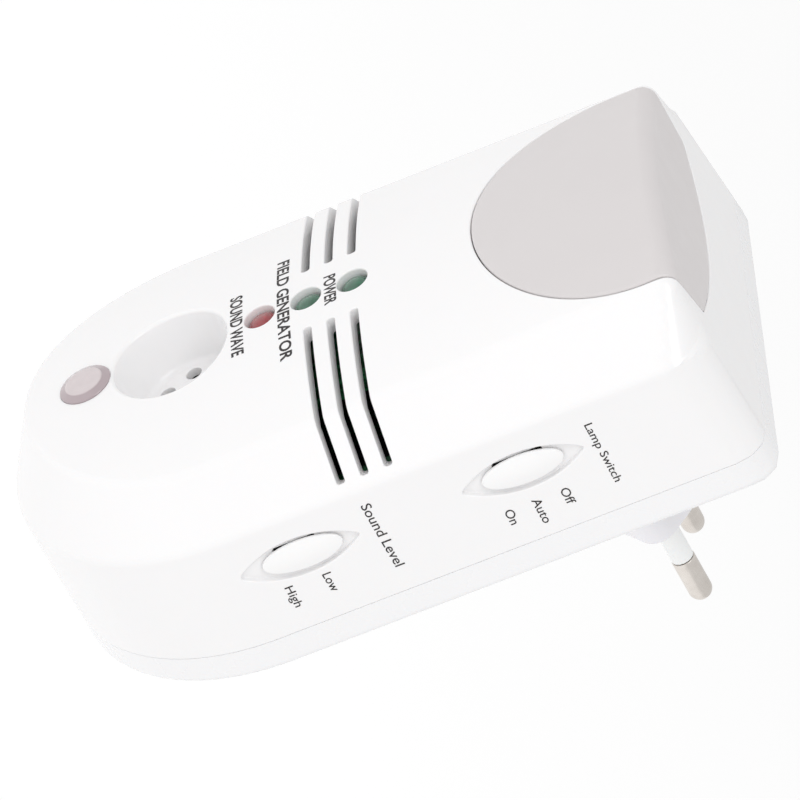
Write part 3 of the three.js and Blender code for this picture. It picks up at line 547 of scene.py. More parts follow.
class Skin:
    """A mesh put together from patches, each with its own smooth normals, in millimetres."""

    def __init__(self):
        self.points = []
        self.normals = []
        self.faces = []
        self.count = 0

    def add(self, points, normals, faces):
        """One patch. Its faces are turned to look the way that its normals do."""
        faces = np.asarray(faces)
        ahead = points[faces[:, 1]] - points[faces[:, 0]]
        across = points[faces[:, -1]] - points[faces[:, 0]]
        looks = np.cross(ahead, across)
        wrong = np.einsum("ij,ij->i", looks, normals[faces].mean(axis=1)) < 0
        faces = faces.copy()
        faces[wrong] = faces[wrong][:, ::-1]
        self.points.append(points)
        self.normals.append(normals)
        self.faces += [tuple(face) for face in faces + self.count]
        self.count += len(points)

    def strip(self, rows, normals):
        """Quads between matching closed rows of points."""
        rows = np.asarray(rows)
        count = rows.shape[1]
        faces = []
        for k in range(len(rows) - 1):
            for i in range(count):
                j = (i + 1) % count
                faces.append((k * count + i, k * count + j, (k + 1) * count + j, (k + 1) * count + i))
        self.add(rows.reshape(-1, 3), np.asarray(normals).reshape(-1, 3), faces)

    def wall(self, rows, toward):
        """A strip whose normals come from its own shape; they lean the way that toward points."""
        rows = np.asarray(rows, float)
        along = np.roll(rows, -1, axis=1) - np.roll(rows, 1, axis=1)
        normals = unit(np.cross(along, np.gradient(rows, axis=0)))
        lean = np.einsum("kij,kij->", normals, np.broadcast_to(toward, rows.shape))
        self.strip(rows, normals if lean > 0 else -normals)

    def build(self, name, material, body="housing"):
        points = np.vstack(self.points)
        normals = np.vstack(self.normals)
        keys = np.round(points / 2e-4).astype(np.int64)
        _, first, same = np.unique(keys, axis=0, return_index=True, return_inverse=True)
        same = same.reshape(-1)
        faces = []
        loops = []
        for face in self.faces:
            merged = [int(same[i]) for i in face]
            kept = [k for k in range(len(merged)) if merged[k] != merged[k - 1]]
            if len(kept) < 3 or len({merged[k] for k in kept}) < len(kept):
                continue
            faces.append([merged[k] for k in kept])
            loops += [face[k] for k in kept]
        mesh = bpy.data.meshes.new(name)
        mesh.from_pydata([tuple(p) for p in points[first] * MM], [], faces)
        mesh.polygons.foreach_set("use_smooth", np.ones(len(faces), bool))
        mesh.normals_split_custom_set([tuple(n) for n in normals[loops]])
        mesh.update()
        return piece(name, mesh, material, body)


def piece(name, mesh, material, body):
    obj = bpy.data.objects.new(name, mesh)
    bpy.context.scene.collection.objects.link(obj)
    mesh.materials.append(material)
    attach(obj, body)
    return obj


def fillet_rows(outline, radius, side=1):
    """Rows from the form's skin round an edge into a hole, or off a piece's rim where side is -1, and
    their normals. The outline is where the wall goes down."""
    rows = []
    normals = []
    for k in range(FILLET_STEPS + 1):
        turn = QUARTER * k / FILLET_STEPS
        sheet = offset(outline, side * radius * (1 - math.sin(turn)))
        row = on_form(sheet, -radius * (1 - math.cos(turn)))
        up = form_normal(row)
        along = np.roll(row, -1, axis=0) - np.roll(row, 1, axis=0)
        away = unit(np.cross(along, up)) * side * math.copysign(1, signed_area(outline))
        rows.append(row)
        normals.append(unit(math.cos(turn) * up - math.sin(turn) * away))
    return rows, normals


# ---------------------------------------------------------------- features of the front housing


def window_outline():
    """The night-light window's edge on the sheet."""
    angles = np.linspace(math.pi, 2 * math.pi, 60)
    x = WINDOW_HALF * np.cos(angles)
    z = WINDOW_ARC_Z + WINDOW_HALF * np.sin(angles)
    front = on_sheet(x, z, crown_depth(x))
    # up the end face: straight in to each corner, then a bow across
    share = np.linspace(0, 1, 14)
    slope = (BACK_TOP_Z - SHOULDER_TOP_Z) / SHOULDER_DEPTH
    ridge_depth = float(crown_depth(WINDOW_HALF))
    depth = ridge_depth + (WINDOW_CORNER_DEPTH - ridge_depth) * share
    x = WINDOW_HALF + (WINDOW_BACK_HALF - WINDOW_HALF) * share
    right = on_sheet(x, BACK_TOP_Z - slope * depth, depth)
    across = np.linspace(1, -1, 40)[1:-1]
    x = WINDOW_BACK_HALF * across
    depth = WINDOW_BACK_DEPTH + (WINDOW_CORNER_DEPTH - WINDOW_BACK_DEPTH) * across**2
    back = on_sheet(x, BACK_TOP_Z - slope * depth, depth)
    left = right[::-1] * (-1, 1)
    whole = np.vstack((front, right, back, left))
    return smoothed(resampled(whole, 0.6), 3)


def eye_outline(z, half_length, half_width, tip_radius):
    """A pointed oval on the right side wall, in sheet coordinates."""
    radius = (half_length**2 + half_width**2) / (2 * half_width)
    sweep = math.asin(half_length / radius)
    middle = MARGIN + FAN_SPAN + FAN_DEPTH + CORE_HALF - SWITCH_DEPTH
    corners = []
    for side in (1, -1):
        angles = np.linspace(-sweep, sweep, 26)
        for angle in angles[:-1]:
            corners.append((middle + side * (radius * math.cos(angle) - radius + half_width),
                            z + side * radius * math.sin(angle)))
    radii = [tip_radius if k % 25 == 0 else 0 for k in range(len(corners))]
    return resampled(rounded(corners, radii), 0.45)


def slot_outline(z, side):
    end = on_sheet(SLOT_END, z, SLOT_END_DEPTH)[0, 0]
    low, high = z - SLOT_WIDTH / 2, z + SLOT_WIDTH / 2
    corners = [(SLOT_START, low), (end, low), (end, high), (SLOT_START, high)]
    outline = resampled(rounded(corners, [0.45] * 4), 0.4)
    return outline * (side, 1)


def floor_patch(skin, outline_points, flat, holes, normal, spacing):
    """A flat floor inside a loop of points in the frame. flat turns frame points to two coordinates and
    back."""
    to_flat, from_flat = flat
    outer = to_flat(outline_points)
    low, high = outer.min(axis=0), outer.max(axis=0)
    lines = [np.arange(start, stop, spacing) for start, stop in zip(low, high)]
    grid = np.stack(np.meshgrid(*lines), axis=-1)
    points, triangles = filled(outer, holes, grid.reshape(-1, 2), clearance=spacing / 2)
    skin.add(from_flat(points), np.broadcast_to(normal, (len(points), 3)), triangles)


def at_depth(outline, depth):
    """Frame points of an outline in x and z, at one depth."""
    return np.stack((outline[:, 0], np.full(len(outline), -PLUG_LENGTH - depth), outline[:, 1]), axis=1)


def at_x(outline, x):
    """Frame points of an outline in y and z, at one x."""
    return np.stack((np.full(len(outline), x), outline[:, 0], outline[:, 1]), axis=1)


def across_depth(depth):
    """Turns points on a plane facing the room to x and z, and back."""
    return lambda points: points[:, [0, 2]], lambda flat: at_depth(flat, depth)


def across_x(x):
    """Turns points on a plane facing sideways to y and z, and back."""
    return lambda points: points[:, [1, 2]], lambda flat: at_x(flat, x)


def ring_about(radius, depth, x, z, angles):
    """Points round a line along Y, all at one depth or each at its own."""
    y = np.broadcast_to(-PLUG_LENGTH - depth, angles.shape)
    return np.stack((x + radius * np.cos(angles), y, z + radius * np.sin(angles)), axis=1)


def horn_hole_centres():
    for i in range(HORN_HOLES):
        angle = math.pi + i * 2 * math.pi / HORN_HOLES
        yield HORN_HOLE_CIRCLE * math.cos(angle), HORN_Z + HORN_HOLE_CIRCLE * math.sin(angle)


def add_horn(skin, mouth):
    """A cup with a flat floor and sound holes, from its rounded mouth in. Returns its outline inside."""
    floor_depth = BODY_DEPTH - HORN_DEPTH
    back_depth = floor_depth - HORN_WALL
    foot_radius = HORN_FLOOR_RADIUS + 0.15
    angles = np.arctan2(mouth[:, 2] - HORN_Z, mouth[:, 0])
    wall = []
    for share in np.linspace(0, 1, 7):
        radius = HORN_RADIUS + (foot_radius - HORN_RADIUS) * share
        depth = (-mouth[:, 1] - PLUG_LENGTH) * (1 - share) + (floor_depth + HORN_FOOT) * share
        wall.append(ring_about(radius, depth, 0, HORN_Z, angles))
    for above, inward in eased(HORN_FOOT, 7)[1:]:
        wall.append(ring_about(foot_radius - inward, floor_depth + above, 0, HORN_Z, angles))
    centre = np.array((0, -PLUG_LENGTH - BODY_DEPTH, HORN_Z))
    skin.wall(wall, centre - np.array(wall))
    mouths = [circle(x, z, HORN_HOLE_RADIUS + BORE_EDGE, 28) for x, z in horn_hole_centres()]
    floor_patch(skin, wall[-1], across_depth(floor_depth), mouths, (0, -1, 0), 1.2)
    around = full_turn(28)
    for x, z in horn_hole_centres():
        bore = [ring_about(HORN_HOLE_RADIUS + wider, floor_depth - down, x, z, around)
                for wider, down in eased(BORE_EDGE, 4)]
        for depth in (floor_depth - 0.8, back_depth):
            bore.append(ring_about(HORN_HOLE_RADIUS, depth, x, z, around))
        skin.wall(bore, ring_about(0, back_depth, x, z, around) - np.array(bore) + (0, -0.1, 0))
    cup_radius = HORN_FLOOR_RADIUS + HORN_WALL
    cup_line = circle(0, HORN_Z, cup_radius, 96)
    back_ring = at_depth(cup_line, back_depth)
    back_holes = [circle(x, z, HORN_HOLE_RADIUS, 28) for x, z in horn_hole_centres()]
    floor_patch(skin, back_ring, across_depth(back_depth), back_holes, (0, 1, 0), 2.0)
    cup = [on_form(cup_line, -WALL), back_ring]
    skin.wall(cup, np.array(cup) - centre)
    return cup_line


def add_switch_recess(skin, line, mouth, z, slot_half_length):
    """A flat floor with a slot, below a rounded mouth. Returns the slot's outline inside."""
    foot = SMALL_EDGE
    wall = [mouth]
    for above, inward in eased(foot, 4):
        inner = on_form(offset(line, -inward), -foot)
        wall.append(at_x(inner[:, 1:], RECESS_FLOOR_X + above))
    y = -PLUG_LENGTH - SWITCH_DEPTH
    middle = np.array((40, y, z))
    skin.wall(wall, middle - np.array(wall))
    half = np.array((SWITCH_SLOT_HALF_WIDTH, slot_half_length))
    corners = [(y, z) + half * way for way in ((-1, -1), (1, -1), (1, 1), (-1, 1))]
    slot = resampled(rounded(corners, [0.3] * 4), 0.5)
    floor_patch(skin, wall[-1], across_x(RECESS_FLOOR_X), [slot], (1, 0, 0), 1.4)
    slot_sheet = on_sheet(RECESS_FLOOR_X, slot[:, 1], -slot[:, 0] - PLUG_LENGTH)
    sides = np.array([at_x(slot, RECESS_FLOOR_X), on_form(slot_sheet, -WALL)])
    skin.wall(sides, middle - sides)
    return slot_sheet


def add_slot(skin, line, edge):
    """A slot's walls, which run on through a collar on the inside. Returns the collar's outline."""
    wall = [on_form(line, level) for level in np.linspace(-edge, -SLOT_COLLAR_DEPTH, 5)]
    centre = np.mean(wall[0], axis=0)
    skin.wall(wall, centre - np.array(wall))
    outer = offset(line, SLOT_COLLAR)
    end = [on_form(line, -SLOT_COLLAR_DEPTH), on_form(outer, -SLOT_COLLAR_DEPTH)]
    skin.wall(end, (0.0, 1, 0))
    collar = [end[1], on_form(outer, -WALL)]
    skin.wall(collar, np.array(collar) - centre)
    return outer


def make_front_housing(material):
    skin = Skin()
    seam = SEAM_DEPTH + SEAM_GAP / 2
    grid = sheet_grid(seam + SEAM_EDGE)
    core = core_points(-74.5)
    rim = grid[-1]

    plain = [(circle(0, z, LED_HOLE_RADIUS, 44), HOLE_EDGE) for z in LED_ZS]
    plain.append((circle(0, SENSOR_Z, SENSOR_RADIUS, 60), SENSOR_SINK))
    plain.append((window_outline(), HOLE_EDGE))
    slots = [(slot_outline(z, side), SMALL_EDGE) for z in SLOT_ZS for side in (1, -1)]
    horn = (circle(0, HORN_Z, HORN_RADIUS, 96), HORN_EDGE)
    switches = ((PET_SWITCH_Z, PET_SLOT_HALF_LENGTH), (LIGHT_SWITCH_Z, LIGHT_SLOT_HALF_LENGTH))
    recesses = [(eye_outline(z, RECESS_HALF_LENGTH, RECESS_HALF_WIDTH, 0.4), SMALL_EDGE) for z, _ in switches]
    openings = [*plain, *slots, horn, *recesses]
    free = np.vstack((core, grid[:-1].reshape(-1, 2)))
    sheet, triangles = filled(rim, [offset(line, edge) for line, edge in openings], free)
    points = on_form(sheet)
    skin.add(points, form_normal(points), triangles)
    mouths = []
    for line, edge in openings:
        rows, normals = fillet_rows(line, edge)
        skin.strip(rows, normals)
        mouths.append(rows[-1])

    inner_holes = []
    for line, edge in plain:
        wall = [on_form(line, level) for level in np.linspace(-edge, -WALL, 4)]
        skin.wall(wall, np.mean(wall[0], axis=0) - np.array(wall))
        inner_holes.append(line)
    inner_holes += [add_slot(skin, line, edge) for line, edge in slots]
    inner_holes.append(add_horn(skin, mouths[len(plain) + len(slots)]))
    for (line, _), mouth, (z, slot_half_length) in zip(recesses, mouths[-len(recesses):], switches):
        inner_holes.append(add_switch_recess(skin, line, mouth, z, slot_half_length))

    # the inside of the shell, and the rim that meets the rear cover
    coarse = np.vstack((core[::3], grid[::3].reshape(-1, 2)))
    sheet, triangles = filled(rim, inner_holes, coarse)
    points = on_form(sheet, -WALL)
    skin.add(points, -form_normal(points), triangles)
    rows = [ring_at(seam + ahead, -inward) for ahead, inward in eased(SEAM_EDGE, 5)]
    rows += [ring_at(seam, level) for level in (-1.2, -WALL)]
    rows.append(on_form(rim, -WALL))
    middle = np.array((0, -PLUG_LENGTH - 30, -30))
    rows = np.array(rows)
    skin.wall(rows[:6], rows[:6] - middle)
    skin.wall(rows[5:7], (0, 1, 0))
    skin.wall(rows[6:8], middle - rows[6:8])
    obj = skin.build("front_shell", material)
    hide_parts("front_housing")


def make_lens(material):
    skin = Skin()
    line = offset(window_outline(), -WINDOW_GAP)
    free = np.vstack((core_points(-20), sheet_grid(SEAM_DEPTH).reshape(-1, 2)))
    sheet, triangles = filled(offset(line, -LENS_EDGE), [], free)
    points = on_form(sheet)
    skin.add(points, form_normal(points), triangles)
    rows, normals = fillet_rows(line, LENS_EDGE, side=-1)
    skin.strip(rows, normals)
    wall = np.array([on_form(line, level) for level in (-LENS_EDGE, -LENS_THICKNESS)])
    skin.wall(wall, wall - wall.mean(axis=(0, 1)))
    sheet, triangles = filled(line, [], free[::2])
    points = on_form(sheet, -LENS_THICKNESS)
    skin.add(points, -form_normal(points), triangles)
    obj = skin.build("lens", material)
    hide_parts("night_light_lens")


# ---------------------------------------------------------------- rear cover


def plug_outline():
    """The plug boss's end: a long hexagon with round ends."""
    flat = 0.63 * PLUG_HALF_WIDTH
    tip = PLUG_HALF_WIDTH + 1.93
    corners = [(flat, PLUG_HALF_HEIGHT), (-flat, PLUG_HALF_HEIGHT), (-tip, 0),
               (-flat, -PLUG_HALF_HEIGHT), (flat, -PLUG_HALF_HEIGHT), (tip, 0)]
    return resampled(rounded(corners, [4.5, 4.5, 3.4, 4.5, 4.5, 3.4], steps=14), 0.7)


def make_rear_cover(material):
    skin = Skin()
    top = SEAM_DEPTH - SEAM_GAP / 2
    rows = [ring_at(top - below, -inward) for below, inward in eased(SEAM_EDGE, 5)[::-1]]
    rows += [ring_at(depth) for depth in (3.6, 2.3)]
    rows += [ring_at(above, -inward) for above, inward in eased(BACK_EDGE, 9)]
    middle = np.array((0, -PLUG_LENGTH - 2, -30))
    rows = np.array(rows)
    skin.wall(rows, rows - middle)
    head = SCREW_HEAD_RADIUS + HOLE_EDGE
    boss = offset(plug_outline(), 0.75)
    back_holes = [circle(x, z, head + HOLE_EDGE, 36) for x, z in SCREW_PLACES]
    floor_patch(skin, rows[-1], across_depth(0), [*back_holes, offset(boss, HOLE_EDGE)], (0, 1, 0), 3.0)
    around = full_turn(36)
    for x, z in SCREW_PLACES:
        axis = ring_about(0, 0, x, z, around)

        def rings(*places):
            return np.array([ring_about(radius, depth, x, z, around) for radius, depth in places])

        lip = rings(*((head + wider, down) for wider, down in eased(HOLE_EDGE, 5)), (head, SCREW_SEAT_DEPTH))
        skin.wall(lip, axis - lip + (0, 1, 0))
        skin.wall(rings((head, SCREW_SEAT_DEPTH), (SCREW_BORE_RADIUS, SCREW_SEAT_DEPTH)), (0, 1, 0))
        bore = rings((SCREW_BORE_RADIUS, SCREW_SEAT_DEPTH), (SCREW_BORE_RADIUS, POST_DEPTH))
        skin.wall(bore, axis - bore)
        skin.wall(rings((SCREW_BORE_RADIUS, POST_DEPTH), (POST_RADIUS, POST_DEPTH)), (0, -1, 0))
        post = rings((POST_RADIUS, POST_DEPTH), (POST_RADIUS, COVER_FLOOR))
        skin.wall(post, post - axis)
    opening = [at_depth(offset(boss, wider), down) for wider, down in eased(HOLE_EDGE, 5)]
    opening.append(at_depth(boss, COVER_FLOOR))
    skin.wall(opening, (0, 1, 0) - np.array(opening) * (1, 0, 1))
    rim = np.array([rows[0], ring_at(top, -WALL)])
    skin.wall(rim, (0, -1, 0))
    inner = np.array([rim[1], ring_at(COVER_FLOOR, -WALL)])
    skin.wall(inner, middle - inner)
    posts = [circle(x, z, POST_RADIUS, 36) for x, z in SCREW_PLACES]
    floor_patch(skin, inner[1], across_depth(COVER_FLOOR), [*posts, boss], (0, -1, 0), 4.0)
    obj = skin.build("cover", material)
    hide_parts("rear_cover")


def lathe(skin, runs, count, place, turned_back=False):
    """A turned piece about a line along Y. Each run is a smooth stretch of (radius, depth) points, from
    the piece's back to its front on the outside. place(depth) gives the line's x and z."""
    angles = full_turn(count)
    way = -1 if turned_back else 1
    for run in runs:
        profile = np.array(run, float)
        slope = unit(np.gradient(profile, axis=0))
        rows = []
        normals = []
        for (radius, depth), (rise, climb) in zip(profile, slope):
            rows.append(ring_about(radius, depth, *place(depth), angles))
            out = way * climb
            along = np.full(count, way * rise)
            normals.append(np.stack((out * np.cos(angles), along, out * np.sin(angles)), axis=1))
        skin.strip(rows, normals)


def bend(centre_radius, centre_depth, size, start, stop, steps):
    """Points of a circular arc in (radius, depth); 0 degrees points outwards and 90 to the room."""
    turns = np.radians(np.linspace(start, stop, steps + 1))
    return [(centre_radius + size * math.cos(turn), centre_depth + size * math.sin(turn)) for turn in turns]


def pin_line(side):
    return lambda depth: (side * (PIN_PITCH / 2 + (depth + PLUG_LENGTH) * math.tan(PIN_LEAN)), 0)


def make_plug(material):
    skin = Skin()
    outline = plug_outline()
    end = -PLUG_LENGTH
    rows = [at_depth(offset(outline, -inward), end + down) for inward, down in eased(PLUG_EDGE, 6)]
    for share in (0.25, 0.5, 0.75, 1):
        depth = end + PLUG_EDGE + (PLUG_ROOT_DEPTH - end - PLUG_EDGE) * share
        rows.append(at_depth(offset(outline, PLUG_GROWTH * share), depth))
    rows = np.array(rows)
    skin.wall(rows, rows * (1, 0, 1) + (0, 1, 0))
    mouth_x = PIN_PITCH / 2
    mouths = [circle(side * mouth_x, 0, MOUTH_RADIUS + MOUTH_EDGE, 36) for side in (-1, 1)]
    floor_patch(skin, rows[0], across_depth(end), mouths, (0, 1, 0), 1.6)
    seat = end + MOUTH_DEPTH
    mouth = [(MOUTH_RADIUS + wider, end + down) for wider, down in eased(MOUTH_EDGE, 4)]
    mouth.append((MOUTH_RADIUS, seat))
    step = [(MOUTH_RADIUS, seat), (PIN_BORE_RADIUS, seat)]
    bore = [(PIN_BORE_RADIUS, seat), (PIN_BORE_RADIUS, PLUG_ROOT_DEPTH)]
    inner_holes = []
    for side in (-1, 1):
        at = pin_line(side)
        centre = np.array((side * mouth_x, 0, 0))
        for run in (mouth, step, bore):
            rings = np.array([ring_about(radius, depth, *at(depth), full_turn(36)) for radius, depth in run])
            skin.wall(rings, (0, 1, 0) if run is step else (centre - rings) * (1, 0, 1))
        inner_holes.append(circle(*at(PLUG_ROOT_DEPTH), PIN_BORE_RADIUS, 36))
    floor_patch(skin, rows[-1], across_depth(PLUG_ROOT_DEPTH), inner_holes, (0, -1, 0), 3.0)
    obj = skin.build("plug_boss", material)
    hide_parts("plug_base")


def make_pin(side, name, material):
    """A solid pin with a round tip; its middle is thinner where the sleeve goes round it."""
    skin = Skin()
    tip = -PLUG_LENGTH - PIN_LENGTH
    end = -PLUG_LENGTH - SLEEVE_LENGTH
    edge = BORE_EDGE
    blade = [(PIN_RADIUS - less, end - down) for less, down in eased(edge, 5)]
    blade += [(PIN_RADIUS, end - 1), (PIN_RADIUS, tip + 3)]
    for turn in np.linspace(0, QUARTER, 12):
        blade.append((PIN_RADIUS * math.cos(turn), tip + PIN_RADIUS * (1 - math.sin(turn))))
    core = PIN_CORE_RADIUS
    runs = [[(0, PIN_TAIL_DEPTH), (core, PIN_TAIL_DEPTH)], [(core, PIN_TAIL_DEPTH), (core, end)],
            [(core, end), (PIN_RADIUS - edge, end)], blade]
    lathe(skin, runs, 48, pin_line(side), turned_back=True)
    obj = skin.build(f"{name}_blade", material)
    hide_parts(name)


def make_sleeve(side, name, material):
    skin = Skin()
    end = -PLUG_LENGTH - SLEEVE_LENGTH + 0.12
    back = -PLUG_LENGTH + 2
    edge = MOUTH_EDGE
    outer, inner = SLEEVE_RADIUS, SLEEVE_BORE_RADIUS
    outside = [(outer, back), (outer, -PLUG_LENGTH), (outer, end + edge)]
    outside += [(outer - inward, end + up) for up, inward in eased(edge, 6)]
    runs = [[(inner, back), (outer, back)], outside,
            [(outer - edge, end), (inner, end)], [(inner, end), (inner, back)]]
    lathe(skin, runs, 48, pin_line(side), turned_back=True)
    obj = skin.build(f"{name}_tube", material)
    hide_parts(name)


# ---------------------------------------------------------------- front details


def still(x, z):
    return lambda depth: (x, z)


def make_led(name, z, material):
    """A round light-emitting diode with its flange and domed tip."""
    skin = Skin()
    shoulder = LED_BASE_DEPTH + 1
    wide = LED_FLANGE_RADIUS
    side = LED_TIP_DEPTH - LED_RISE
    dome = [(LED_RADIUS * math.cos(t), side + LED_RISE * math.sin(t)) for t in np.linspace(0, QUARTER, 14)]
    runs = [[(0, LED_BASE_DEPTH), (wide, LED_BASE_DEPTH)], [(wide, LED_BASE_DEPTH), (wide, shoulder - 0.1)],
            [(wide, shoulder - 0.1), (LED_RADIUS, shoulder)],
            [(LED_RADIUS, shoulder), (LED_RADIUS, side - 1), *dome]]
    lathe(skin, runs, 48, still(0, z))
    obj = skin.build(f"{name}_lens", material)
    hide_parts(name)


def make_sensor(material):
    """The light sensor's window: a round disc with a low rim slope round a raised middle."""
    skin = Skin()
    seat = BODY_DEPTH - SENSOR_SINK
    rim = SENSOR_RADIUS - 0.04
    lip = seat + 0.05
    disc = SENSOR_DISC_RADIUS
    top = seat + SENSOR_RISE
    face = bend(rim - 0.3, lip, 0.3, 0, 60, 6)
    face += [(disc + 0.3, seat + 0.66), (disc + 0.12, seat + 0.7)]
    face += [(disc, seat + 0.84), (disc - 0.25, seat + 0.89)]
    face += [(radius, top) for radius in (2.2, 1.1, 0)]
    stem = SENSOR_RADIUS - 0.9
    corners = [(0, 35.5), (stem, 35.5), (stem, seat - 0.4), (rim, seat - 0.4), (rim, lip)]
    lathe(skin, [*zip(corners, corners[1:]), face], 64, still(0, SENSOR_Z))
    obj = skin.build("sensor_disc", material)
    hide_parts("sensor_window")


def make_knob(name, body, material):
    """A long oval button with a crowned top, over a stem that reaches through the housing."""
    low, high = (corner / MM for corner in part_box(name))
    skin = Skin()
    count = 72
    angles = full_turn(count)
    foot = RECESS_FLOOR_X + KNOB_LIFT
    edge = HOLE_EDGE
    rim = high.x - KNOB_CROWN
    centre = (low.y + high.y) / 2, (low.z + high.z) / 2
    half = (high.y - low.y) / 2, (high.z - low.z) / 2

    def oval(x, inset, share=1.0):
        y, z = ((half[k] - inset) * share * turn(angles) for k, turn in enumerate((np.cos, np.sin)))
        return np.stack((np.full(count, x), centre[0] + y, centre[1] + z), axis=1)

    rows = [oval(foot, 0), oval(rim - edge, 0)]
    rows += [oval(rim - edge + edge * math.sin(t), edge * (1 - math.cos(t)))
             for t in np.linspace(0, QUARTER * 0.8, 5)[1:]]
    rows += [oval(rim + KNOB_CROWN * (1 - share**2), edge, share) for share in np.linspace(0.985, 0.04, 16)]
    rows = np.array(rows)
    middle = np.array((foot - 6, *centre))
    skin.wall(rows, rows - middle)
    cap = np.vstack((rows[-1], [(high.x, *centre)]))
    skin.add(cap, np.broadcast_to((1.0, 0, 0), cap.shape), fan(count))
    half_stem = np.array((STEM_HALF_DEPTH, STEM_HALF_LENGTH))
    corners = [centre + half_stem * way for way in ((-1, -1), (1, -1), (1, 1), (-1, 1))]
    stem = resampled(rounded(corners, [0.3] * 4), 0.35)
    floor_patch(skin, rows[0], across_x(foot), [stem], (-1, 0, 0), 1.0)
    sides = np.array([at_x(stem, foot), at_x(stem, low.x)])
    skin.wall(sides, (sides - middle) * (0, 1, 1))
    floor_patch(skin, sides[1], across_x(low.x), [], (-1, 0, 0), 1.0)
    obj = skin.build(name.replace("knob", "button"), material, body)
    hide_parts(name)


def fan(count):
    """Triangles from each step of a ring of points to one point after them."""
    return [(i, (i + 1) % count, count) for i in range(count)]


def cross_radii(angles, scale):
    """How far a cross recess reaches at each angle, its corners cut."""
    arm = 0.42 * scale
    reach = 1.5 * scale
    radii = []
    for angle in angles:
        near, far = sorted((abs(math.cos(angle)), abs(math.sin(angle))))
        radius = min(reach / far, arm / max(near, 1e-6))
        if near * radius >= arm * 0.999:
            radius = max(radius, arm * 1.25 / far)
        radii.append(radius)
    return np.array(radii)


def make_screw(name, x, z, material):
    """A pan-head screw seen from the back, with a cross recess in its head."""
    skin = Skin()
    head, rim = 0.5, SCREW_HEAD_RADIUS
    under = head + 1.8
    pit_floor = head + 1.1
    count = 64
    angles = full_turn(count)

    def ring(radius, depth):
        return ring_about(radius, depth, x, z, angles)

    face = [ring(cross_radii(angles, 1), head)]
    face += [ring(radius, head + 0.28 * (radius / rim)**4) for radius in (1.7, 2.0, 2.3, 2.55)]
    face += [ring(rim - 0.25 + 0.25 * math.sin(t), head + 0.55 - 0.25 * math.cos(t))
             for t in np.linspace(0.5, QUARTER, 5)]
    away = np.array((x, -PLUG_LENGTH - 6, z))
    face = np.array(face)
    skin.wall(face, face - away)
    sides = np.array([face[-1], ring(rim, under)])
    skin.wall(sides, (sides - away) * (1, 0, 1))
    pit = np.array([face[0], ring(cross_radii(angles, 0.72), pit_floor)])
    skin.wall(pit, (away - pit) * (1, 0, 1))
    base = np.vstack((pit[-1], [(x, -PLUG_LENGTH - pit_floor - 0.1, z)]))
    skin.add(base, np.broadcast_to((0, 1.0, 0), base.shape), fan(count))
    skin.wall([sides[-1], ring(SCREW_SHANK_RADIUS, under)], (0, -1, 0))
    shank = [(0, 16), (SCREW_SHANK_RADIUS, 14.5), (SCREW_SHANK_RADIUS, under)]
    lathe(skin, [shank[1:], shank[:2]], count, still(x, z), turned_back=True)
    obj = skin.build(f"{name}_body", material)
    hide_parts(name)


# ---------------------------------------------------------------- materials


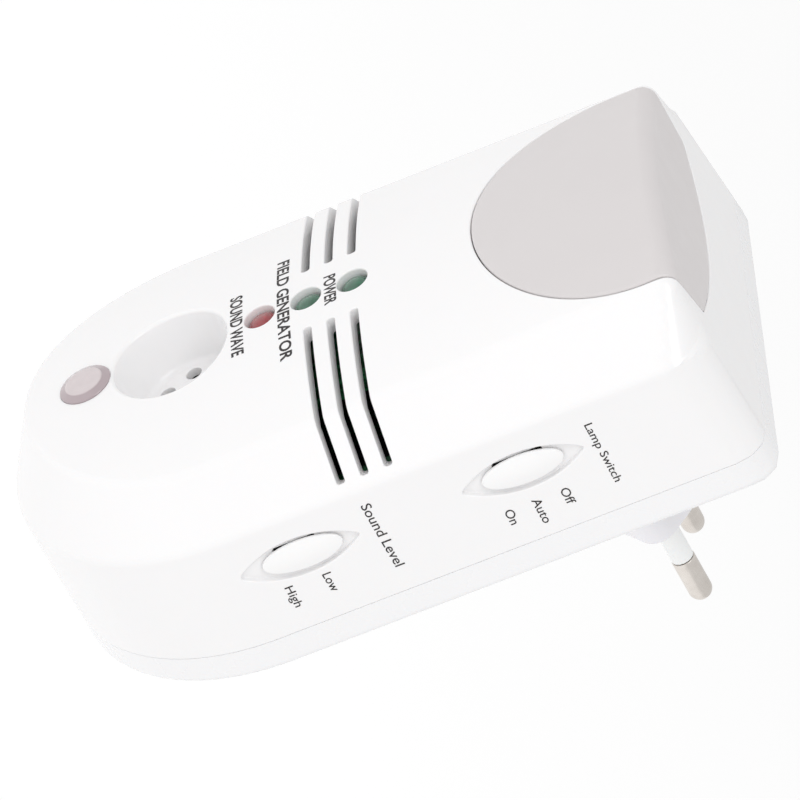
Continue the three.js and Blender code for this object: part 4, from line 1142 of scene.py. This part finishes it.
class Look:
    """A material whose patterns are read from the place in the object, in millimetres."""

    def __init__(self, name, colour, roughness, **settings):
        self.material = bpy.data.materials.new(name)
        self.material.use_nodes = True
        self.tree = self.material.node_tree
        self.shader = self.tree.nodes["Principled BSDF"]
        self.colour = colour
        self.set(self.shader, Base_Color=(*colour, 1), Roughness=roughness, **settings)

    @staticmethod
    def set(node, **values):
        for name, value in values.items():
            node.inputs[name.replace("_", " ")].default_value = value

    def node(self, kind, **values):
        node = self.tree.nodes.new(f"ShaderNode{kind}")
        self.set(node, **values)
        return node

    def link(self, output, target):
        self.tree.links.new(output, target)

    def place(self, size, stretch=(1, 1, 1)):
        """Coordinates that grow by one in so many millimetres."""
        scale = [share / (size * MM) for share in stretch]
        mapping = self.node("Mapping", Scale=scale)
        self.link(self.node("TexCoord").outputs["Object"], mapping.inputs["Vector"])
        return mapping.outputs["Vector"]

    def near(self, x, z, reach):
        """One on a line along Y, falling evenly to nothing so many millimetres from it."""
        share = 1 / (reach * MM)
        mapping = self.node("Mapping", Scale=(share, 0, share), Location=(-x / reach, 0, -z / reach))
        self.link(self.node("TexCoord").outputs["Object"], mapping.inputs["Vector"])
        gradient = self.node("TexGradient")
        gradient.gradient_type = "SPHERICAL"
        self.link(mapping.outputs["Vector"], gradient.inputs["Vector"])
        return gradient.outputs["Fac"]

    def noise(self, size, detail=3, stretch=(1, 1, 1)):
        texture = self.node("TexNoise", Scale=1.0, Detail=detail)
        self.link(self.place(size, stretch), texture.inputs["Vector"])
        return texture.outputs["Fac"]

    def bands(self, size, axis, distortion=0.0):
        """Stripes about so many millimetres apart along one axis."""
        texture = self.node("TexWave", Scale=1.0, Distortion=distortion, Detail=2.0, Detail_Scale=4.0)
        texture.bands_direction = axis
        self.link(self.place(size * math.pi), texture.inputs["Vector"])
        return texture.outputs["Fac"]

    def spread(self, factor, low, high, start=0.3, stop=0.7):
        ranged = self.node("MapRange")
        for name, value in (("From Min", start), ("From Max", stop), ("To Min", low), ("To Max", high)):
            ranged.inputs[name].default_value = value
        self.link(factor, ranged.inputs["Value"])
        return ranged.outputs["Result"]

    def mixed(self, factor, first, second):
        """A colour between two, each a colour or another node's colour."""
        mix = self.tree.nodes.new("ShaderNodeMix")
        mix.data_type = "RGBA"
        self.link(factor, mix.inputs["Factor"])
        for name, colour in (("A", first), ("B", second)):
            socket = [s for s in mix.inputs if s.name == name and s.type == "RGBA"][0]
            if isinstance(colour, tuple):
                socket.default_value = (*colour, 1)
            else:
                self.link(colour, socket)
        return [s for s in mix.outputs if s.type == "RGBA"][0]

    def clouded(self, size, first, second, detail=3):
        """Soft patches of two colours."""
        return self.mixed(self.spread(self.noise(size, detail), 0, 1), first, second)

    def tint(self, colour):
        self.link(colour, self.shader.inputs["Base Color"])
        return self

    def mottle(self, size, amount, detail=3):
        """Lightens and darkens the colour softly, by a share of itself."""
        dark = tuple(c * (1 - amount) for c in self.colour)
        light = tuple(min(c * (1 + amount), 1) for c in self.colour)
        return self.tint(self.clouded(size, dark, light, detail))

    def rough(self, size, low, high, detail=3, stretch=(1, 1, 1)):
        self.link(self.spread(self.noise(size, detail, stretch), low, high), self.shader.inputs["Roughness"])
        return self

    def bump(self, *layers):
        """Adds layers of (height, depth in millimetres), one on top of the other."""
        normal = None
        for height, depth in layers:
            node = self.node("Bump", Strength=1.0, Distance=depth * MM)
            self.link(height, node.inputs["Height"])
            if normal is not None:
                self.link(normal, node.inputs["Normal"])
            normal = node.outputs["Normal"]
        self.link(normal, self.shader.inputs["Normal"])
        return self


def moulded(name, colour, low, high, soft=0.0):
    """Polished moulded plastic: faint flow marks, an almost unseen ripple and fine grain."""
    look = Look(name, colour, (low + high) / 2, IOR=1.5, Subsurface_Weight=soft,
                Subsurface_Radius=(1.0, 0.85, 0.75), Subsurface_Scale=0.0006)
    look.mottle(22, 0.004)
    look.rough(7, low, high, detail=5)
    look.bump((look.noise(9, 2), 0.006), (look.noise(0.35, 2), 0.0006))
    return look.material


def frosted():
    """The night-light window: milky polycarbonate with a fine eroded grain."""
    look = Look("frosted_polycarbonate", (0.67, 0.64, 0.64), 0.4, IOR=1.58, Subsurface_Weight=0.25,
                Subsurface_Radius=(1, 1, 1), Subsurface_Scale=0.0015)
    look.mottle(14, 0.006)
    look.rough(5, 0.34, 0.46)
    look.bump((look.noise(11, 2), 0.006), (look.noise(0.16, 2), 0.0012))
    return look.material


def sensor_plastic():
    """Smoked plastic: paler over the middle, with painted shade darkening the sloping rim round it."""
    look = Look("smoked_sensor_plastic", (0.63, 0.56, 0.57), 0.14, IOR=1.55, Subsurface_Weight=0.2,
                Subsurface_Radius=(1, 0.8, 0.8), Subsurface_Scale=0.001, Coat_Weight=0.5, Coat_Roughness=0.05)
    # painted shade: the sloping rim round the raised middle is coloured darker all round, by distance from
    # the sensor's axis
    reach = 5.0
    start, stop = 1 - (SENSOR_DISC_RADIUS + 0.15) / reach, 1 - SENSOR_DISC_RADIUS / reach
    middle = look.spread(look.near(0, SENSOR_Z, reach), 0, 1, start, stop)
    pale = look.clouded(2.2, (0.61, 0.54, 0.55), (0.65, 0.58, 0.59))
    look.tint(look.mixed(middle, (0.43, 0.355, 0.375), pale))
    look.rough(1.5, 0.1, 0.2)
    look.bump((look.noise(2.5, 2), 0.003), (look.noise(0.2, 2), 0.0005))
    return look.material


def epoxy(name, colour, light):
    """Tinted epoxy: glossy, with light spreading under its skin."""
    look = Look(name, colour, 0.08, IOR=1.55, Coat_Weight=1.0, Coat_Roughness=0.03,
                Subsurface_Weight=0.35, Subsurface_Radius=light, Subsurface_Scale=0.0015)
    look.tint(look.clouded(1.4, colour, tuple(c * 1.5 for c in colour), 2))
    look.rough(0.8, 0.06, 0.12)
    look.bump((look.noise(1.2, 2), 0.002))
    return look.material


def clear_epoxy():
    look = Look("clear_epoxy", (0.82, 0.86, 0.9), 0.08, IOR=1.55, Transmission_Weight=0.6)
    look.mottle(1.5, 0.04)
    look.rough(0.8, 0.05, 0.12)
    look.bump((look.noise(1.2, 2), 0.002))
    return look.material


def turned_nickel():
    """Nickel-plated brass: rings left by the lathe, and scratches along the pin from use."""
    look = Look("nickel_plate", (0.56, 0.53, 0.50), 0.28, Metallic=1.0)
    look.tint(look.clouded(3, (0.66, 0.615, 0.57), (0.78, 0.735, 0.69), 4))
    look.rough(0.5, 0.2, 0.38, detail=4, stretch=(1, 0.12, 1))
    look.bump((look.bands(0.22, "Y", 0.6), 0.0012), (look.noise(0.12, 3, (1, 0.06, 1)), 0.0012))
    return look.material


def zinc_steel():
    look = Look("zinc_plated_steel", (0.52, 0.53, 0.54), 0.35, Metallic=1.0)
    look.tint(look.clouded(1.8, (0.42, 0.42, 0.44), (0.62, 0.61, 0.57), 4))
    look.rough(0.6, 0.26, 0.45)
    look.bump((look.noise(0.25, 4), 0.003))
    return look.material


def turned_aluminium():
    look = Look("drawn_aluminium", (0.72, 0.73, 0.74), 0.32, Metallic=1.0)
    look.mottle(2.5, 0.06)
    look.rough(0.5, 0.25, 0.4, stretch=(1, 0.1, 1))
    look.bump((look.noise(0.15, 3, (1, 0.1, 1)), 0.002))
    return look.material


def sheet_brass():
    look = Look("sheet_brass", (0.62, 0.44, 0.17), 0.3, Metallic=1.0)
    look.mottle(2.0, 0.12)
    look.rough(0.6, 0.25, 0.42, stretch=(1, 0.2, 1))
    look.bump((look.noise(0.2, 3, (1, 0.1, 1)), 0.002))
    return look.material


def wound_copper():
    """Enamelled wire, one turn beside the next, with painted shade in the grooves between turns."""
    look = Look("enamelled_copper", (0.5, 0.2, 0.08), 0.3, Metallic=1.0, Coat_Weight=0.6, Coat_Roughness=0.1)
    turns = look.bands(0.3, "X", 0.2)
    # painted shade: the colour darkens where the bump sinks between turns
    look.tint(look.mixed(turns, (0.2, 0.06, 0.02), (0.62, 0.28, 0.12)))
    look.rough(0.5, 0.22, 0.38)
    look.bump((turns, 0.08))
    return look.material


def circuit_board():
    """Green solder mask over a net of copper tracks."""
    look = Look("solder_mask", (0.012, 0.12, 0.045), 0.3, IOR=1.5, Coat_Weight=0.3, Coat_Roughness=0.2)
    cells = look.node("TexVoronoi", Scale=1.0, Randomness=0.7)
    cells.feature = "DISTANCE_TO_EDGE"
    cells.distance = "EUCLIDEAN"
    look.link(look.place(3.2), cells.inputs["Vector"])
    tracks = look.spread(cells.outputs["Distance"], 1, 0, 0.1, 0.14)
    ground = look.clouded(2.5, (0.008, 0.085, 0.03), (0.014, 0.125, 0.05), 4)
    look.tint(look.mixed(tracks, ground, (0.03, 0.24, 0.09)))
    look.rough(1.0, 0.25, 0.4)
    look.bump((tracks, 0.035), (look.noise(0.4, 3), 0.003))
    return look.material


def laminated_iron():
    look = Look("laminated_iron", (0.12, 0.12, 0.125), 0.45, Metallic=0.8)
    sheets = look.bands(0.5, "Z", 0.1)
    look.tint(look.mixed(sheets, (0.04, 0.04, 0.043), (0.19, 0.19, 0.2)))
    look.rough(0.8, 0.38, 0.6)
    look.bump((sheets, 0.05), (look.noise(0.2, 3), 0.004))
    return look.material


def resin(name, colour, grain, low, high):
    """Cast or moulded resin with a dull, slightly pitted skin."""
    look = Look(name, colour, (low + high) / 2, IOR=1.5)
    look.mottle(3, 0.12, detail=4)
    look.rough(1.2, low, high)
    look.bump((look.noise(grain, 3), 0.006), (look.noise(3, 2), 0.01))
    return look.material


def print_ink():
    look = Look("printed_ink", (0.028, 0.024, 0.024), 0.5, IOR=1.45)
    look.mottle(0.6, 0.25)
    look.rough(0.3, 0.42, 0.6)
    look.bump((look.noise(0.12, 2), 0.002))
    return look.material


def floor_paper():
    look = Look("floor_paper", (0.95, 0.95, 0.95), 0.9, IOR=1.3, Specular_IOR_Level=0.1,
                Emission_Color=(1, 1, 1, 1), Emission_Strength=0.2)
    look.mottle(600, 0.004)
    look.rough(200, 0.85, 0.95)
    look.bump((look.noise(3, 3), 0.02))
    return look.material


def make_looks():
    """Every finish by the record's slot."""
    return {
        "housing_plastic": moulded("housing_abs", (0.895, 0.888, 0.892), 0.22, 0.27, 0.1),
        "cover_plastic": moulded("cover_abs", (0.885, 0.882, 0.89), 0.24, 0.3, 0.1),
        "knob_plastic": moulded("knob_abs", (0.915, 0.91, 0.91), 0.2, 0.26, 0.1),
        "plug_plastic": moulded("plug_polyamide", (0.88, 0.87, 0.90), 0.3, 0.42, 0.1),
        "sleeve_plastic": moulded("sleeve_polyamide", (0.91, 0.915, 0.91), 0.32, 0.42, 0.1),
        "frosted_plastic": frosted(),
        "sensor_plastic": sensor_plastic(),
        "led_green": epoxy("green_epoxy", (0.008, 0.085, 0.042), (0.3, 1.0, 0.6)),
        "led_red": epoxy("red_epoxy", (0.22, 0.01, 0.016), (1.0, 0.2, 0.25)),
        "clear_plastic": clear_epoxy(),
        "nickel": turned_nickel(),
        "steel": zinc_steel(),
        "brass": sheet_brass(),
        "copper": wound_copper(),
        "circuit_board": circuit_board(),
        "iron_core": laminated_iron(),
        "yellow_plastic": resin("yellow_film", (0.62, 0.42, 0.05), 0.5, 0.3, 0.45),
        "aluminium_case": turned_aluminium(),
        "rubber": resin("black_rubber", (0.02, 0.02, 0.021), 0.4, 0.6, 0.8),
        "black_plastic": resin("black_phenolic", (0.015, 0.015, 0.017), 0.3, 0.35, 0.55),
    }


# ---------------------------------------------------------------- printed words


def on_front(x, z):
    """Places print on the front face: x and z in millimetres."""
    return lambda u, v: np.stack((x + u, z + v), axis=1)


def on_side(depth, z):
    """Places print on the right side wall, reading towards the back."""
    return lambda u, v: on_sheet(np.full(len(u), SHOULDER_HALF), z + v, depth - u)


def make_print(name, words, width, height, weight, place, material):
    """Printed words as a thin layer that follows the housing's skin."""
    curve = bpy.data.curves.new(name, "FONT")
    curve.body = words
    curve.size = 1.0
    curve.offset = weight
    curve.extrude = 0.1
    curve.resolution_u = 4
    source = bpy.data.objects.new(name, curve)
    bpy.context.scene.collection.objects.link(source)
    bpy.context.view_layer.update()
    graph = bpy.context.evaluated_depsgraph_get()
    mesh = bpy.data.meshes.new_from_object(source.evaluated_get(graph))
    bpy.data.objects.remove(source)
    bpy.data.curves.remove(curve)
    work = bmesh.new()
    work.from_mesh(mesh)
    bmesh.ops.remove_doubles(work, verts=work.verts, dist=1e-4)
    bmesh.ops.triangulate(work, faces=work.faces)
    work.to_mesh(mesh)
    work.free()
    flat = np.array([tuple(v.co) for v in mesh.vertices])
    low, high = flat.min(axis=0), flat.max(axis=0)
    u = (flat[:, 0] - (low[0] + high[0]) / 2) * width / (high[0] - low[0])
    v = (flat[:, 1] - (low[1] + high[1]) / 2) * height / (high[1] - low[1])
    sheet = place(u, v)
    points = np.where(flat[:, 2:] > 0, on_form(sheet, INK_PROUD), on_form(sheet, -INK_PROUD))
    mesh.vertices.foreach_set("co", (points * MM).ravel())
    mesh.materials.clear()
    mesh.update()
    piece(name, mesh, material, "housing")


def make_all_print(material):
    # name, words, width, height, and the middle's x or depth and z
    front = (("print_sound", "SOUND WAVE", 15.7, 2.2, 0, -47.05),
             ("print_field", "FIELD GENERATOR", 26.4, 2.15, 0, -38.95),
             ("print_power", "POWER", 7.6, 2.1, 0.3, -30.85))
    for name, words, width, height, x, z in front:
        make_print(name, words, width, height, FRONT_PRINT_WEIGHT, on_front(x, z), material)
    side = (("print_sound_level", "Sound Level", 13.0, 1.65, 16.7, -33.12),
            ("print_low", "Low", 3.7, 1.5, 12.0, -44.1),
            ("print_high", "High", 4.2, 1.85, 11.9, -50.7),
            ("print_lamp", "Lamp Switch", 11.9, 1.75, 16.3, 3.6),
            ("print_lamp_off", "Off", 3.15, 1.5, 11.15, -4.4),
            ("print_lamp_auto", "Auto", 4.9, 1.5, 10.3, -9.15),
            ("print_lamp_on", "On", 2.9, 1.5, 11.2, -13.8))
    for name, words, width, height, depth, z in side:
        make_print(name, words, width, height, SIDE_PRINT_WEIGHT, on_side(depth, z), material)


# ---------------------------------------------------------------- assembly

make_camera()
floor = make_stage()
looks = make_looks()
floor.data.materials.append(floor_paper())

for part in frame["record"]["subparts"]:
    node = frame["nodes"][part["node"]]
    node.data.materials.clear()
    node.data.materials.append(looks[part["material_slot"]])

make_front_housing(looks["housing_plastic"])
make_rear_cover(looks["cover_plastic"])
make_lens(looks["frosted_plastic"])
make_sensor(looks["sensor_plastic"])
make_plug(looks["plug_plastic"])
for side, word in ((-1, "left"), (1, "right")):
    make_pin(side, f"plug_pin_{word}", looks["nickel"])
    make_sleeve(side, f"pin_sleeve_{word}", looks["sleeve_plastic"])
leds = (("ion_led", "led_green"), ("field_led", "led_green"), ("sound_led", "led_red"))
for (name, slot), z in zip(leds, LED_ZS):
    make_led(name, z, looks[slot])
make_knob("pet_switch_knob", "pet_knob", looks["knob_plastic"])
make_knob("light_switch_knob", "light_knob", looks["knob_plastic"])
for i, (x, z) in enumerate(SCREW_PLACES):
    make_screw(f"housing_screw_{i + 1}", x, z, looks["steel"])
make_all_print(print_ink())
